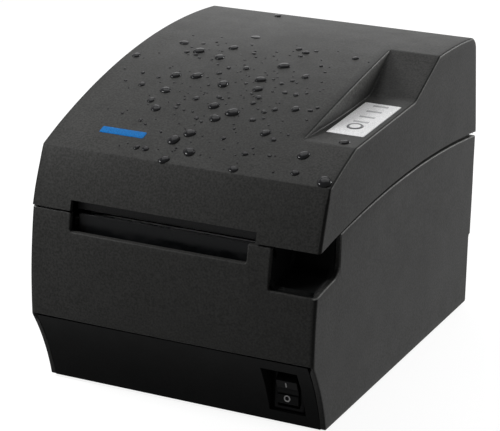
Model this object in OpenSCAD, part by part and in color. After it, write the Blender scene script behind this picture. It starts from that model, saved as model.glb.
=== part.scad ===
// Desktop receipt printer: drop-in-roll thermal printer with a rear-hinged lid,
// front paper exit, automatic cutter and a toe-kick power switch.
// Frame: +X right, +Y to the back, +Z up, origin under the middle of the housing.

/* [Overall size] */
// Width of the housing at the parting line
body_w = 145; // [144:1:180]
// Depth of the housing from front face to rear face
body_d = 193; // [188:1:235]
// Height from the table to the crown of the lid
body_h = 144; // [140:1:175]
// Thickness of the moulded walls
wall = 2.4; // [2:0.1:3]
// Height of the rubber feet below the case
foot_h = 1.5; // [1:0.1:3]
// Radius of a rubber foot
foot_r = 7; // [5:0.5:9]

/* [Parting line] */
// Height of the crown of the parting line above the case bottom
seam_top = 95.7; // [94:0.1:98]
// Distance of that crown behind the front face
seam_y = 106.7; // [95:0.1:115]
// Radius of the parting line
seam_r = 640; // [500:10:900]
// Open gap between lid and case
seam_gap = 1.4; // [1:0.1:2]

/* [Case] */
// Height of the toe-kick
kick_h = 36.5; // [35:0.5:38]
// Setback of the toe-kick at the bottom
kick_depth = 16; // [12:0.5:17]
// Setback of the toe-kick at its top edge
kick_top = 0.6; // [0.2:0.1:1]
// Radius of the hollow toe-kick
kick_r = 111; // [90:1:150]
// Groove between the toe-kick and the front face
kick_gap = 0.8; // [0.4:0.1:1.5]
// Height of the foremost line of the front face
front_z = 38; // [36:0.5:42]
// Radius of the front face of the case
front_r = 240; // [200:5:300]
// Narrowing of each side from the parting line to the bottom
case_draft = 1.1; // [0:0.1:2]
// Step of the connector bay into the rear face
rear_step = 3; // [2:0.5:4]
// Height of the connector bay
rear_h = 37; // [35:0.5:38]
// Thickness of the tray that closes the case underneath
tray_t = 2.4; // [2:0.1:3]

/* [Finger notch] */
// Width of the notch at the right front corner
notch_w = 22.5; // [18:0.5:23]
// Depth of the notch behind the front face
notch_d = 27.2; // [20:0.1:28]
// Height of the floor of the notch
notch_z = 69.5; // [66:0.5:75]
// Radius at the back of the notch floor
notch_r = 7; // [3:0.5:10]

/* [Lid] */
// Radius of the crowned top
crown_r = 345; // [300:5:450]
// Distance of the crown from the rear face
crown_back = 41.3; // [35:0.1:50]
// Radius of the lid's front face
lid_front_r = 145; // [120:5:200]
// Setback of the lid's lower front edge
lid_setback = 4.7; // [4:0.1:6]
// Lean of the lid's front face at its lower edge
lid_lean = 16.5; // [12:0.5:20]
// Lean of the lid's rear face
lid_rear_lean = 3.3; // [0:0.1:5]
// Radius along the top rear edge
lid_rear_r = 7; // [4:0.5:10]
// Narrowing of each side of the lid from parting line to crown
lid_draft = 0.8; // [0:0.1:2]
// Width of the inlay on the crown
badge_w = 23; // [18:0.5:28]
// Length of the inlay
badge_l = 4.6; // [3:0.1:6]
// Distance of the inlay behind the front crease of the lid
badge_back = 14.7; // [10:0.1:20]
// Place of the inlay across the lid
badge_x = -38; // [-45:1:-20]

/* [Operator panel] */
// Width of the panel recess at the right edge of the lid
recess_w = 26; // [24:0.5:30]
// Distance of the start of the recess floor behind the front face
recess_y = 43.1; // [40:0.1:50]
// Length of the recess floor
recess_l = 68.4; // [60:0.1:72]
// Tilt of the recess floor
recess_tilt = 2.43; // [0:0.01:5]
// Slope of the ramp behind the floor
ramp_tilt = 25.5; // [20:0.5:40]
// Width of the panel overlay
overlay_w = 17.9; // [16:0.1:19]
// Length of the panel overlay
overlay_l = 44; // [40:0.5:50]
// Thickness of the panel overlay
overlay_t = 0.6; // [0.4:0.1:1]
// Radius of the feed button
button_r = 3.7; // [3:0.1:4.5]
// Travel of the feed button
button_travel = 0.6; // [0.3:0.1:0.8]
// Half width of a signal window
pipe_half = 3.7; // [2.5:0.1:4.5]
// Length of a signal window along the panel
pipe_l = 1.7; // [1:0.1:2.2]

/* [Paper] */
// Middle of the paper path from the middle of the housing
paper_x = -6; // [-8:0.5:-5]
// Width of the paper
paper_w = 80; // [76:0.5:80]
// Radius of a full paper roll
roll_r = 41.5; // [35:0.5:42]
// Distance of the roll's middle behind the front face
roll_y = 118; // [117:0.5:122]
// Height of the roll's middle above the case bottom
roll_z = 72; // [70:0.5:74]
// Width of the paper slot in the front
slot_w = 89; // [86:0.5:92]
// Height of the lower edge of the slot
slot_z = 78.9; // [77:0.1:80]
// Rise of the lid's edge above the slot
slot_lip = 4.6; // [4:0.1:6]

/* [Print mechanism] */
// Radius of the platen roller
platen_r = 6.5; // [6:0.1:6.8]
// Distance of the platen behind the front face
platen_y = 34; // [33:0.1:35]
// Height of the platen above the case bottom
platen_z = 86.5; // [86:0.1:87]
// Radius of the platen shaft
platen_shaft_r = 3; // [2.5:0.1:3.2]
// Rise of the paper towards the front, in degrees
path_rise = 15; // [12:0.5:16]
// Thickness of the steel side plates
frame_t = 1.5; // [1.2:0.1:1.6]
// Height of the deck that carries the mechanism
deck_z = 34; // [33:0.5:35]
// Thickness of the deck
deck_t = 2.2; // [2:0.1:2.5]
// Radius of the feed motor
motor_r = 13.5; // [11:0.5:13.5]
// Length of the feed motor
motor_l = 18; // [14:1:20]
// Radial running clearance of the shafts
run_gap = 0.06; // [0.02:0.01:0.1]

/* [Feed gears] */
// Gear tooth module of the feed train
feed_m = 1; // [0.95:0.01:1.02]
// Face width of the feed gears
gear_w = 6; // [5:0.1:6.5]
// Teeth of the platen gear
platen_teeth = 16; // [15:1:17]
// Teeth of the idler gear
idler_teeth = 22; // [21:1:23]
// Teeth of the motor pinion
pinion_teeth = 10; // [9:1:11]

/* [Cutter] */
// Distance of the blades behind the front face
cut_y = 17; // [16.8:0.1:17.2]
// Cutter blade travel
cut_travel = 6; // [5:0.5:6]
// Thickness of the cutter blades
blade_t = 0.8; // [0.6:0.1:0.8]
// Tooth module of the blade rack
cut_m = 0.8; // [0.75:0.01:0.85]
// Teeth of the cutter pinion
cut_teeth = 10; // [9:1:11]

/* [Hinge] */
// Distance of the hinge pins in front of the rear face
hinge_back = 5.8; // [5.5:0.1:6.2]
// Distance of the hinge pins below the parting line
hinge_drop = 12.6; // [12:0.1:14]
// Distance of each hinge from the middle of the housing
hinge_x = 45; // [35:1:50]
// Radius of the hinge pins
hinge_r = 2; // [1.5:0.1:2.5]

/* [Power switch] */
// Width of the switch pocket
pocket_w = 18; // [17:0.5:19]
// Distance of the pocket from the right side
pocket_x = 10.2; // [9:0.1:12]
// Height of the pocket's ceiling
pocket_z = 30; // [29:0.5:31]
// Height of the pocket's floor
pocket_floor = 5.8; // [5:0.1:6]
// Distance of the switch panel behind the front face
switch_y = 17.7; // [17.5:0.1:19]
// Height of the middle of the switch
switch_z = 17; // [16.5:0.1:17.5]
// Width of the switch bezel
bezel_w = 15; // [14:0.1:15.5]
// Height of the switch bezel
bezel_h = 21; // [20:0.1:21.5]
// Throw of the rocker
rocker_throw = 20; // [14:1:22]

/* [Connectors] */
// Place of the power inlet across the rear panel
dc_x = -46; // [-48:1:-44]
// Place of the USB port
usb_x = -20; // [-24:1:-16]
// Place of the serial port
serial_x = 12; // [8:1:14]
// Place of the cash drawer port
drawer_x = 46; // [42:1:48]
// Height of the main board above the case bottom
board_z = 7; // [6:0.5:8]
// Thickness of the main board
board_t = 1.6; // [1.2:0.2:2]

/* [Hidden] */

// Facets of the long arcs, the tubs and arches, and the turned parts
fine = 720;
smooth = 180;
turned = 64;
// Overlap of joined shapes, and reach of a cut past the body it cuts
eps = 0.01;
past = 60;
// Clearances: between moulded parts, of a pressed pin, of a screw in its hole, of seated parts
fit = 0.15;
pin_gap = 0.02;
screw_gap = 0.05;
seat = 0.1;

charcoal = [0.13, 0.13, 0.14];
kick_grey = [0.05, 0.05, 0.055];
steel = [0.7, 0.71, 0.72];
black = [0.06, 0.06, 0.06];
white_plastic = [0.9, 0.9, 0.88];
board_green = [0.05, 0.3, 0.16];

// Heights and depths of the main surfaces
crest_z = body_h - foot_h;
crest_y = body_d - crown_back;
function seam_at(y) = seam_top - seam_r + sqrt(pow(seam_r, 2) - pow(y - seam_y, 2));
function crown_at(y) = crest_z - crown_r + sqrt(pow(crown_r, 2) - pow(y - crest_y, 2));
case_in = body_w / 2 - case_draft - wall;
tray_half = case_in - fit;
tray_front = 40;

// Centre of the hollow toe-kick arc, from its two ends
kick_chord = sqrt(pow(kick_depth - kick_top, 2) + pow(kick_h, 2));
kick_away = sqrt(pow(kick_r, 2) - pow(kick_chord / 2, 2));
kick_cy = (kick_top + kick_depth) / 2 - kick_away * kick_h / kick_chord;
kick_cz = kick_h / 2 - kick_away * (kick_depth - kick_top) / kick_chord;

// Finger notch: rise of its floor to the back, and its lining
notch_x = body_w / 2 - notch_w;
notch_fall = 1.2;
notch_rise = 2.2;
notch_wall = 2.2;

// Hinges: arm of the lid between two lugs of the case
hinge_y = body_d - hinge_back;
hinge_z = seam_at(hinge_y) - hinge_drop;
arm_half = 3.9;
knuckle_r = 4.4;
knuckle_back = 2.4;
lug_x0 = arm_half + 2 * fit;
lug_x1 = lug_x0 + 3.4;
arm_room = 5.8;

// Centre of the lid's front arc, and the crease where it meets the crown
lid_front_z = seam_at(lid_setback) + seam_gap / 2;
lid_front_cy = lid_setback + lid_front_r * cos(lid_lean);
lid_front_cz = lid_front_z - lid_front_r * sin(lid_lean);
crown_cz = crest_z - crown_r;
centres_d = norm([lid_front_cy - crest_y, lid_front_cz - crown_cz]);
centres_a = atan2(lid_front_cz - crown_cz, lid_front_cy - crest_y);
crease_a = acos((pow(crown_r, 2) + pow(centres_d, 2) - pow(lid_front_r, 2)) / (2 * crown_r * centres_d));
crease_y = crest_y + crown_r * cos(centres_a + crease_a);

// Rear face of the lid: it leans from the parting line to the rounded top edge
rear_z = seam_at(body_d);
rear_arc_z = crown_at(body_d - 9) - lid_rear_r;
rear_arc_y = body_d - (rear_arc_z - rear_z) * tan(lid_rear_lean) - lid_rear_r;

// Recess, overlay, button and windows, measured along the recess floor
recess_x = body_w / 2 - recess_w;
recess_z = crown_at(recess_y);
overlay_x = recess_x + 13.5;
overlay_y = 36.1;
overlay_z = -0.33;
overlay_top = overlay_z + overlay_t;
pocket_cut = 0.35;
button_y = 25.5;
button_rise = 0.35;
pipe_y = [32.1, 39.2, 47.1, 54.8];
panel_drop = 7;
panel_board_t = 1.6;
panel_post_y = [16, 62.5];
panel_post_r = 2.4;
pin_screw_r = 1.1;
tact_h = 3.2;

// Inlay on the crown, in a pocket a little deeper than itself
badge_y = crease_y + badge_back;
badge_deep = 0.6;
badge_proud = 0.12;
badge_gap = 0.05;

// Paper path and roll bay
bay_half = roll_r;
bay_wall = 2;
bay_z = 86;
cradle_r = roll_r + 1.5;
nip_y = platen_y - platen_r * sin(path_rise);
nip_z = platen_z - platen_r * cos(path_rise);
function path_at(y) = nip_z + (nip_y - y) * tan(path_rise);
slot_x0 = paper_x - slot_w / 2;
slot_x1 = paper_x + slot_w / 2;
guide_y = 66;
guide_z = 81;
guide_r = 3;
deck_half = 46;
ribbon_half = 22;

// Print mechanism
plate_in = paper_w / 2 + 2.5;
plate_out = plate_in + frame_t;
frame_z = deck_z + seat;
frame_y0 = 20;
frame_y1 = 56;
frame_top = 89;
bearing_r = 5;
head_pivot_y = 47.5;
head_pivot_z = 70;
head_pivot_r = 1.5;
sink_half = paper_w / 2;
sink_t = 7;
strip_t = 1.1;
head_gap = 0.12;

// Spring seat, and springs as long as the room under the heat sink
seat_z = 63;
seat_y = [28, 44];
seat_x1 = paper_x + 24;
spring_y = 36;
spring_x = [paper_x - 22, paper_x + 18];
coil_r = 2.4;
wire_r = 0.35;
function sink_at(y) = nip_z - (y - nip_y) * tan(path_rise) - sink_t / cos(path_rise);
spring_h = sink_at(spring_y + coil_r + wire_r) - seat_z - 1.5 * seat;

// Feed gears: the platen gear lifts off the idler on its circle round the hinge
gear_x = paper_x + plate_out + 1.5;
mesh_gap = 0.12;
idler_a = 180 + atan2(hinge_y - platen_y, platen_z - hinge_z);
idler_d = feed_m * (platen_teeth + idler_teeth) / 2 + mesh_gap;
idler_y = platen_y + idler_d * cos(idler_a);
idler_z = platen_z + idler_d * sin(idler_a);
idler_pin_r = 2;
pinion_a = -80;
pinion_d = feed_m * (idler_teeth + pinion_teeth) / 2 + mesh_gap;
pinion_y = idler_y + pinion_d * cos(pinion_a);
pinion_z = idler_z + pinion_d * sin(pinion_a);
motor_shaft_r = 1.5;
motor_x1 = paper_x + plate_in - seat;
// A gap of the idler faces the platen gear, and a tooth of it a gap of the pinion
idler_turn = idler_a + 180 + 180 / idler_teeth;
idler_off = (idler_turn - pinion_a) % (360 / idler_teeth);
pinion_turn = pinion_a + 180 + 180 / pinion_teeth - idler_off * idler_teeth / pinion_teeth;

// Cutter
cut_pitch_r = cut_m * cut_teeth / 2;
cut_half = 47.5;
cut_top = 83.2;
cut_bottom = 62;
cut_v = 2.4;
cut_pinion_x = paper_x - 24;
cut_pinion_z = 50;
cut_pinion_half = 1.2;
cut_shaft_r = 1.5;
cut_motor_r = 10;
cut_motor_l = 18;
cut_plate_t = 2;
rack_x = cut_pinion_x - cut_pitch_r - 0.08;
rack_w = 5;
rack_pitch = PI * cut_m;
rack_below = ceil(cut_travel / rack_pitch);
rack_above = 4;
blade_front = cut_y - blade_t / 2;
blade_back = cut_y + blade_t / 2;
exit_y = 9.5;
exit_z = 72;

// Switch: pocket, body and rocker
pocket_x1 = body_w / 2 - pocket_x;
pocket_x0 = pocket_x1 - pocket_w;
pocket_wall = 2;
switch_x = pocket_x0 + 1.6 + bezel_w / 2;
switch_half = [6.4, 9.7];
switch_room = [5.4, 8.7];
bezel_t = 2;
tab_z = 6;
rocker_r = 8.2;
rocker_in = 1.2;
rocker_half = 5.2;
rocker_pin_r = 1;

// Screws and the bosses and posts that take them
screw_r = 1.5;
head_r = 2.8;
head_h = 1.2;
socket_r = 1.4;
socket_h = 0.7;
boss_r = 3.6;
boss_z = 22;
post_r = 4;
case_boss_x = case_in - 3.2;
case_boss_y = [44, body_d - 40];
post_x = [paper_x - bay_half + 3.1, paper_x + bay_half - 3.1];
post_y = [25, 66];
lid_boss_x = [-58, 58];
lid_boss_y = [42, body_d - 28];
carrier_x = [paper_x - 30, paper_x + 30];
carrier_y = 48;
foot_places = [for (x = [-1, 1], y = [32, body_d - 22]) [x * (body_w / 2 - 21), y]];

// Inner cover of the lid
liner_t = 2;
liner_z = 97.5;
liner_low = liner_z - liner_t;
liner_y0 = 12;
liner_half = body_w / 2 - wall - 4;
switch_peg_y = 46.5;
peg_x = paper_x - plate_out - 3.3;

// Bracket that carries the platen under the inner cover
ear_out = plate_in - 2 * fit;
ear_in = ear_out - frame_t + seat;
carrier_top = liner_low - seat / 2;
carrier_t = 1.4;

// Main board, rear panel, and width and height of each connector
board_half = 60;
board_y0 = 74;
board_y1 = body_d - 8.5;
board_hole_x = [-55, 55];
board_hole_y = [board_y0 + 5, board_y1 - 17];
parts_z = board_z + board_t + 0.05;
panel_y = body_d - rear_step - 3.5;
panel_t = 1.5;
port_z = board_z + board_t + fit;
port_deep = 14;
port_gap = 0.2;
dc_size = [16, 15];
dc_barrel_r = 6.4;
dc_hole_r = 4.9;
dc_z = port_z + dc_size[1] / 2;
usb_size = [12, 11];
serial_size = [30.8, 12.5];
serial_z = port_z + serial_size[1] / 2;
serial_pitch = 2.77;
drawer_size = [14, 14];

module at_case() translate([0, -body_d / 2, foot_h]) children();
// A (y, z) outline carried from x0 to x1
module along_x(x0, x1) translate([x0, 0, 0]) rotate([90, 0, 90]) linear_extrude(x1 - x0) children();
// An (x, z) outline carried from y0 to y1
module along_y(y0, y1) translate([0, y1, 0]) rotate([90, 0, 0]) linear_extrude(y1 - y0) children();
module rod_x(x0, x1, y, z, r) translate([x0, y, z]) rotate([0, 90, 0])
  cylinder(r = r, h = x1 - x0, $fn = turned);
module rod_y(x, y0, y1, z, r) translate([x, y1, z]) rotate([90, 0, 0])
  cylinder(r = r, h = y1 - y0, $fn = turned);
module rod_z(x, y, z0, z1, r) translate([x, y, z0]) cylinder(r = r, h = z1 - z0, $fn = turned);
module block(x, y, z) translate([x[0], y[0], z[0]]) cube([x[1] - x[0], y[1] - y[0], z[1] - z[0]]);
// The span from a to b on the right (s = 1) or the left (s = -1) of c
function span(c, s, a, b) = s > 0 ? [c + a, c + b] : [c - b, c - a];
function about(c, half) = [c - half, c + half];
// A bore right across the mechanism
module bore_x(y, z, r) rod_x(paper_x - past, paper_x + past, y, z, r);

// Spur gear outline: trapezoid teeth with curved flanks, one tooth pointing along +u
module gear_outline(m, n) {
  rp = m * n / 2;
  half = 90 / n - 1.6 / n;
  // Radius in modules from the pitch circle, and half width against that on the pitch circle
  flank = [[-1.2, 1.42], [-0.6, 1.22], [0, 1], [0.55, 0.68], [1, 0.36]];
  function corner(i, k, s) =
    let (a = 360 * k / n + s * half * flank[i][1]) (rp + m * flank[i][0]) * [cos(a), sin(a)];
  polygon([for (k = [0 : n - 1]) each concat(
    [for (i = [0 : 4]) corner(i, k, -1)],
    [for (i = [4 : -1 : 0]) corner(i, k, 1)])]);
}

module seam_disc(d) translate([seam_y, seam_top - seam_r]) circle(seam_r + d, $fn = 2 * fine);
module front_disc(d) translate([front_r, front_z]) circle(front_r - d, $fn = fine);
module kick_disc(d) translate([kick_cy, kick_cz]) circle(kick_r + d, $fn = fine);

// Side outline of the case
module case_outline() intersection() {
  seam_disc(-seam_gap / 2);
  union() {
    intersection() {
      front_disc(0);
      translate([0, kick_h]) square([body_d, body_h]);
    }
    difference() {
      square([body_d - rear_step, kick_h + eps]);
      kick_disc(0);
    }
  }
}
// Front outline of the case between its drafted sides, drawn in by d, from z0 up
module case_width(d, z0) {
  top = body_w / 2 - d;
  low = top - case_draft;
  polygon([[-low, z0], [low, z0], [top, seam_top], [top, body_h], [-top, body_h], [-top, seam_top]]);
}
module case_solid() intersection() {
  along_x(-body_w, body_w) case_outline();
  along_y(-past, body_d + past) case_width(0, -eps);
}
module case_cavity() intersection() {
  along_x(-body_w, body_w) union() {
    intersection() {
      front_disc(wall);
      translate([0, kick_h - eps]) square([body_d - wall, body_h]);
    }
    translate([-past, -past]) square([body_d + 2 * past, rear_h + past]);
  }
  along_y(-past, body_d + past) case_width(wall, -seat);
}
// Side outline of the finger notch, grown by d
module notch_outline(d) {
  back = notch_d + d;
  low = notch_z - d;
  r = notch_r + d;
  bend_z = low + notch_rise + r;
  bend = [for (a = [0 : 10 : 80]) [back - r + r * sin(a), bend_z - r * cos(a)]];
  polygon(concat([[-5, low - notch_fall], [back - r - 1, low + notch_rise - 0.1]], bend,
    [[back, bend_z], [back, body_h], [-5, body_h]]));
}

module main_case() color(charcoal) at_case() difference() {
  union() {
    difference() {
      case_solid();
      case_cavity();
    }
    intersection() {
      case_solid();
      along_x(notch_x - notch_wall, body_w) notch_outline(notch_wall);
    }
    // Ledge over the connector panel
    block(about(0, case_in), [panel_y, body_d - wall + eps], [rear_h - eps, rear_h + wall]);
    // Screw bosses against the side walls
    for (s = [-1, 1], y = case_boss_y) {
      rod_z(s * case_boss_x, y, tray_t + fit, boss_z, boss_r);
      block(span(0, s, case_boss_x, case_in + wall / 4), about(y, 1), [tray_t + fit, boss_z]);
    }
    // Hinge lugs on the rear wall
    for (s = [-1, 1], t = [-1, 1])
      block(span(s * hinge_x, t, lug_x0, lug_x1), [hinge_y - knuckle_r, body_d - wall / 2],
        about(hinge_z, knuckle_r));
  }
  along_x(notch_x, body_w) notch_outline(0);
  // Paper slot cut into the top edge of the front wall
  block([slot_x0, slot_x1], [-5, liner_y0], [slot_z, body_h]);
  for (s = [-1, 1]) {
    // Openings for the hinge arms
    block(about(s * hinge_x, lug_x0), [body_d - 2 * hinge_back, body_d + 5], [hinge_z - arm_room, body_h]);
    rod_x(s * hinge_x - lug_x1 - 1, s * hinge_x + lug_x1 + 1, hinge_y, hinge_z, hinge_r + pin_gap);
    for (y = case_boss_y) rod_z(s * case_boss_x, y, 0, boss_z - 5, screw_r + screw_gap);
  }
}

module tray_outline() difference() {
  union() {
    square([body_d - rear_step, tray_t]);
    intersection() {
      kick_disc(wall);
      square([tray_front, kick_h - kick_gap]);
    }
  }
  kick_disc(0);
}
// Walls round the switch pocket, cut to the toe-kick's face
module pocket_block() intersection() {
  block([pocket_x0 - pocket_wall, pocket_x1 + pocket_wall], [0, switch_y + pocket_wall],
    [0, pocket_z + pocket_wall]);
  along_x(0, body_w) difference() {
    square([past, past]);
    kick_disc(0);
  }
}
module base_tray() color(kick_grey) at_case() difference() {
  union() {
    along_x(-tray_half, tray_half) tray_outline();
    pocket_block();
    for (x = post_x, y = post_y) rod_z(x, y, tray_t - eps, deck_z - deck_t - seat, post_r);
    for (x = board_hole_x, y = board_hole_y) rod_z(x, y, tray_t - eps, board_z - seat / 2, 3);
  }
  block([pocket_x0, pocket_x1], [-5, switch_y], [pocket_floor, pocket_z]);
  block(about(switch_x, switch_half[0] + port_gap), [switch_y - 1, switch_y + 5],
    about(switch_z, switch_half[1] + port_gap));
  for (x = post_x, y = post_y) rod_z(x, y, 16, deck_z, screw_r + screw_gap);
  for (x = board_hole_x, y = board_hole_y) rod_z(x, y, tray_t - 1, board_z + 1, screw_r + screw_gap);
  for (s = [-1, 1], y = case_boss_y) {
    rod_z(s * case_boss_x, y, -1, tray_t + 1, screw_r + screw_gap);
    rod_z(s * case_boss_x, y, -1, seat + head_h, head_r + 2 * fit);
  }
  for (p = foot_places) rod_z(p[0], p[1], -1, 0.8, foot_r + seat);
}

module rubber_feet() color(black) at_case()
  for (p = foot_places)
    translate([p[0], p[1], -foot_h]) rotate_extrude($fn = turned)
      polygon([[0, 0], [foot_r - 0.8, 0], [foot_r, 0.7], [foot_r, foot_h + 0.75], [0, foot_h + 0.75]]);

// Screw pointing up, its head underneath at z0
module screw_up(x, y, z0, len) {
  difference() {
    rod_z(x, y, z0, z0 + head_h, head_r);
    translate([x, y, z0 - eps]) cylinder(r = socket_r, h = socket_h, $fn = 6);
  }
  rod_z(x, y, z0 + head_h - eps, z0 + len, screw_r);
}
// Screw pointing down, its head on top at z0
module screw_down(x, y, z0, len) {
  difference() {
    rod_z(x, y, z0, z0 + head_h, head_r);
    translate([x, y, z0 + head_h - socket_h]) cylinder(r = socket_r, h = 1, $fn = 6);
  }
  rod_z(x, y, z0 - len, z0 + eps, screw_r);
}
module bottom_screws() color(steel) at_case()
  for (s = [-1, 1], y = case_boss_y) screw_up(s * case_boss_x, y, seat, 15);

// An opening of the rear panel for a connector of that width and height
module port_hole(x, size)
  block(about(x, size[0] / 2 + 2 * port_gap), about(panel_y, 5),
    [port_z - port_gap, port_z + size[1] + 2 * port_gap]);
module rear_panel() color([0.35, 0.36, 0.37]) at_case() difference() {
  block(about(0, tray_half), [panel_y, panel_y + panel_t], [tray_t + seat, rear_h - seat]);
  rod_y(dc_x, panel_y - 1, panel_y + 5, dc_z, dc_barrel_r + port_gap);
  port_hole(usb_x, usb_size);
  port_hole(serial_x, serial_size);
  port_hole(drawer_x, drawer_size);
}
module dc_inlet() color(black) at_case() difference() {
  union() {
    block(about(dc_x, dc_size[0] / 2), [panel_y - port_deep, panel_y - port_gap],
      [port_z, port_z + dc_size[1]]);
    rod_y(dc_x, panel_y - 1, panel_y + 2.5, dc_z, dc_barrel_r);
  }
  // Socket with three pins left standing in it
  difference() {
    rod_y(dc_x, panel_y - 9, panel_y + 5, dc_z, dc_hole_r);
    for (a = [90, 210, 330])
      rod_y(dc_x + 2.6 * cos(a), panel_y - 10, panel_y - 3.5, dc_z + 2.6 * sin(a), 0.6);
  }
}
module usb_port() color(steel) at_case() {
  tongue_y = panel_y - 8;
  difference() {
    block(about(usb_x, usb_size[0] / 2), [panel_y - port_deep, panel_y + 2], [port_z, port_z + usb_size[1]]);
    block(about(usb_x, 4.3), [tongue_y, panel_y + 5], [port_z + 1.6, port_z + 9.4]);
  }
  block(about(usb_x, 2.8), [tongue_y - eps, panel_y + 1], [port_z + 4, port_z + 7]);
}
module serial_port() color(steel) at_case() {
  flange = [panel_y - 1.2, panel_y + port_gap];
  block(about(serial_x, serial_size[0] / 2), flange, [port_z, port_z + serial_size[1]]);
  block(about(serial_x, 9.5), [panel_y - port_deep, flange[0] + eps], [port_z, port_z + 11]);
  // Shell of the plug face with five contacts over four
  difference() {
    along_y(flange[1] - eps, panel_y + 6) translate([serial_x, serial_z])
      polygon([[-8.8, 4.2], [8.8, 4.2], [7.4, -4.2], [-7.4, -4.2]]);
    for (i = [-2 : 2])
      rod_y(serial_x + serial_pitch * i, panel_y + 2, panel_y + 7, serial_z + 1.45, 0.6);
    for (i = [-1.5 : 1.5])
      rod_y(serial_x + serial_pitch * i, panel_y + 2, panel_y + 7, serial_z - 1.45, 0.6);
  }
  // Jack posts
  for (s = [-1, 1]) translate([serial_x + 12.5 * s, panel_y + 5, serial_z]) rotate([90, 30, 0])
    cylinder(r = 2.6, h = 5, $fn = 6);
}
module drawer_port() color(black) at_case() difference() {
  block(about(drawer_x, drawer_size[0] / 2), [panel_y - port_deep, panel_y + 1.6],
    [port_z, port_z + drawer_size[1]]);
  block(about(drawer_x, 5), [panel_y - 11, panel_y + 5], [port_z + 3.4, port_z + 10.6]);
  block(about(drawer_x, 1.6), [panel_y - 8, panel_y + 5], [port_z + 1.6, port_z + 4]);
}

module main_board() color(board_green) at_case() difference() {
  block(about(0, board_half), [board_y0, board_y1], [board_z, board_z + board_t]);
  for (x = board_hole_x, y = board_hole_y) rod_z(x, y, 0, board_z + 5, screw_r + screw_gap);
}
// A part on the main board: middle, width, length and height
module chip(x, y, w, l, h)
  block(about(x, w / 2), about(board_y0 + y, l / 2), [parts_z, parts_z + h]);
module board_parts() color(black) at_case() {
  // Processor, memory and driver
  chip(-3, 47, 18, 18, 1.6);
  chip(24, 37, 12, 14, 1.4);
  chip(-29, 39, 10, 18, 2.4);
  // Connector of the ribbon, coil, smoothing capacitors and a row of small drivers
  chip(paper_x, 5, 2 * ribbon_half, 6, 6);
  chip(40, 46, 12, 12, 8);
  for (i = [0 : 2]) rod_z(-48 + 12 * i, board_y0 + 72, parts_z, parts_z + 13, 4.5);
  for (i = [0 : 3]) chip(-47.5 + 7 * i, 19, 5, 6, 1.2);
}
module board_screws() color(steel) at_case()
  for (x = board_hole_x, y = board_hole_y) screw_down(x, y, board_z + board_t + pin_gap, 6.2);

// Roll tub with the deck that carries the print mechanism
module tub_outline(r) {
  translate([roll_y, roll_z]) circle(r, $fn = smooth);
  translate([roll_y - r, roll_z]) square([2 * r, past]);
}
module roll_chassis() color(black) at_case() difference() {
  union() {
    along_x(paper_x - bay_half - bay_wall, paper_x + bay_half + bay_wall) intersection() {
      tub_outline(cradle_r + bay_wall);
      square([body_d, bay_z]);
    }
    block(about(paper_x, deck_half), [frame_y0 - 2, roll_y - cradle_r + 2 * bay_wall],
      [deck_z - deck_t, deck_z]);
    // Cheeks in front of the tub
    for (s = [-1, 1])
      block(span(paper_x, s, bay_half, bay_half + bay_wall), [frame_y1 + 5, roll_y - 20],
        [deck_z - eps, bay_z]);
  }
  along_x(paper_x - bay_half, paper_x + bay_half) tub_outline(cradle_r);
  for (x = post_x, y = post_y) rod_z(x, y, deck_z - 10, deck_z + 5, screw_r + screw_gap);
  // Slot for the ribbon
  block(about(paper_x, ribbon_half + 4), [frame_y1 + 1.5, frame_y1 + 4.5], [deck_z - 10, deck_z + 5]);
  bore_x(guide_y, guide_z, guide_r + pin_gap);
}
module chassis_screws() color(steel) at_case()
  for (x = post_x, y = post_y)
    screw_down(x, y, y == post_y[0] ? frame_z + frame_t + seat / 2 : deck_z + seat / 2, 12);
module paper_guide_bar() color(steel) at_case()
  rod_x(paper_x - bay_half - bay_wall, paper_x + bay_half + bay_wall, guide_y, guide_z, guide_r);

// Steel frame: floor, two side plates and the spring seat
module plate_outline() difference() {
  polygon([[frame_y0, frame_z], [frame_y1, frame_z], [frame_y1, frame_top - 11], [45, frame_top],
    [frame_y0 + 2, frame_top], [frame_y0, frame_top - 5]]);
  // Open seat of the platen bearing, flared upwards
  translate([platen_y, platen_z]) circle(bearing_r + fit, $fn = turned);
  translate([platen_y, platen_z]) polygon([[-bearing_r - fit, 0], [bearing_r + fit, 0],
    [bearing_r + 0.9, frame_top], [-bearing_r - 0.9, frame_top]]);
}
module mechanism_frame() color(steel) at_case() difference() {
  left = paper_x - plate_out + eps;
  union() {
    for (s = [-1, 1]) {
      x = span(paper_x, s, plate_in, plate_out);
      along_x(x[0], x[1]) plate_outline();
    }
    block([left, paper_x + plate_out - eps], [frame_y0, frame_y1], [frame_z, frame_z + frame_t]);
    block([left, seat_x1], seat_y, [seat_z - frame_t, seat_z]);
    block([seat_x1 - frame_t, seat_x1], seat_y, [frame_z, seat_z]);
  }
  bore_x(head_pivot_y, head_pivot_z, head_pivot_r + pin_gap);
  rod_x(paper_x + 30, paper_x + past, idler_y, idler_z, idler_pin_r + pin_gap);
  rod_x(paper_x + 30, paper_x + past, pinion_y, pinion_z, feed_m * pinion_teeth / 2 + 0.6);
  for (x = post_x) rod_z(x, post_y[0], deck_z - 4, deck_z + 6, screw_r + screw_gap);
}

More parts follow.
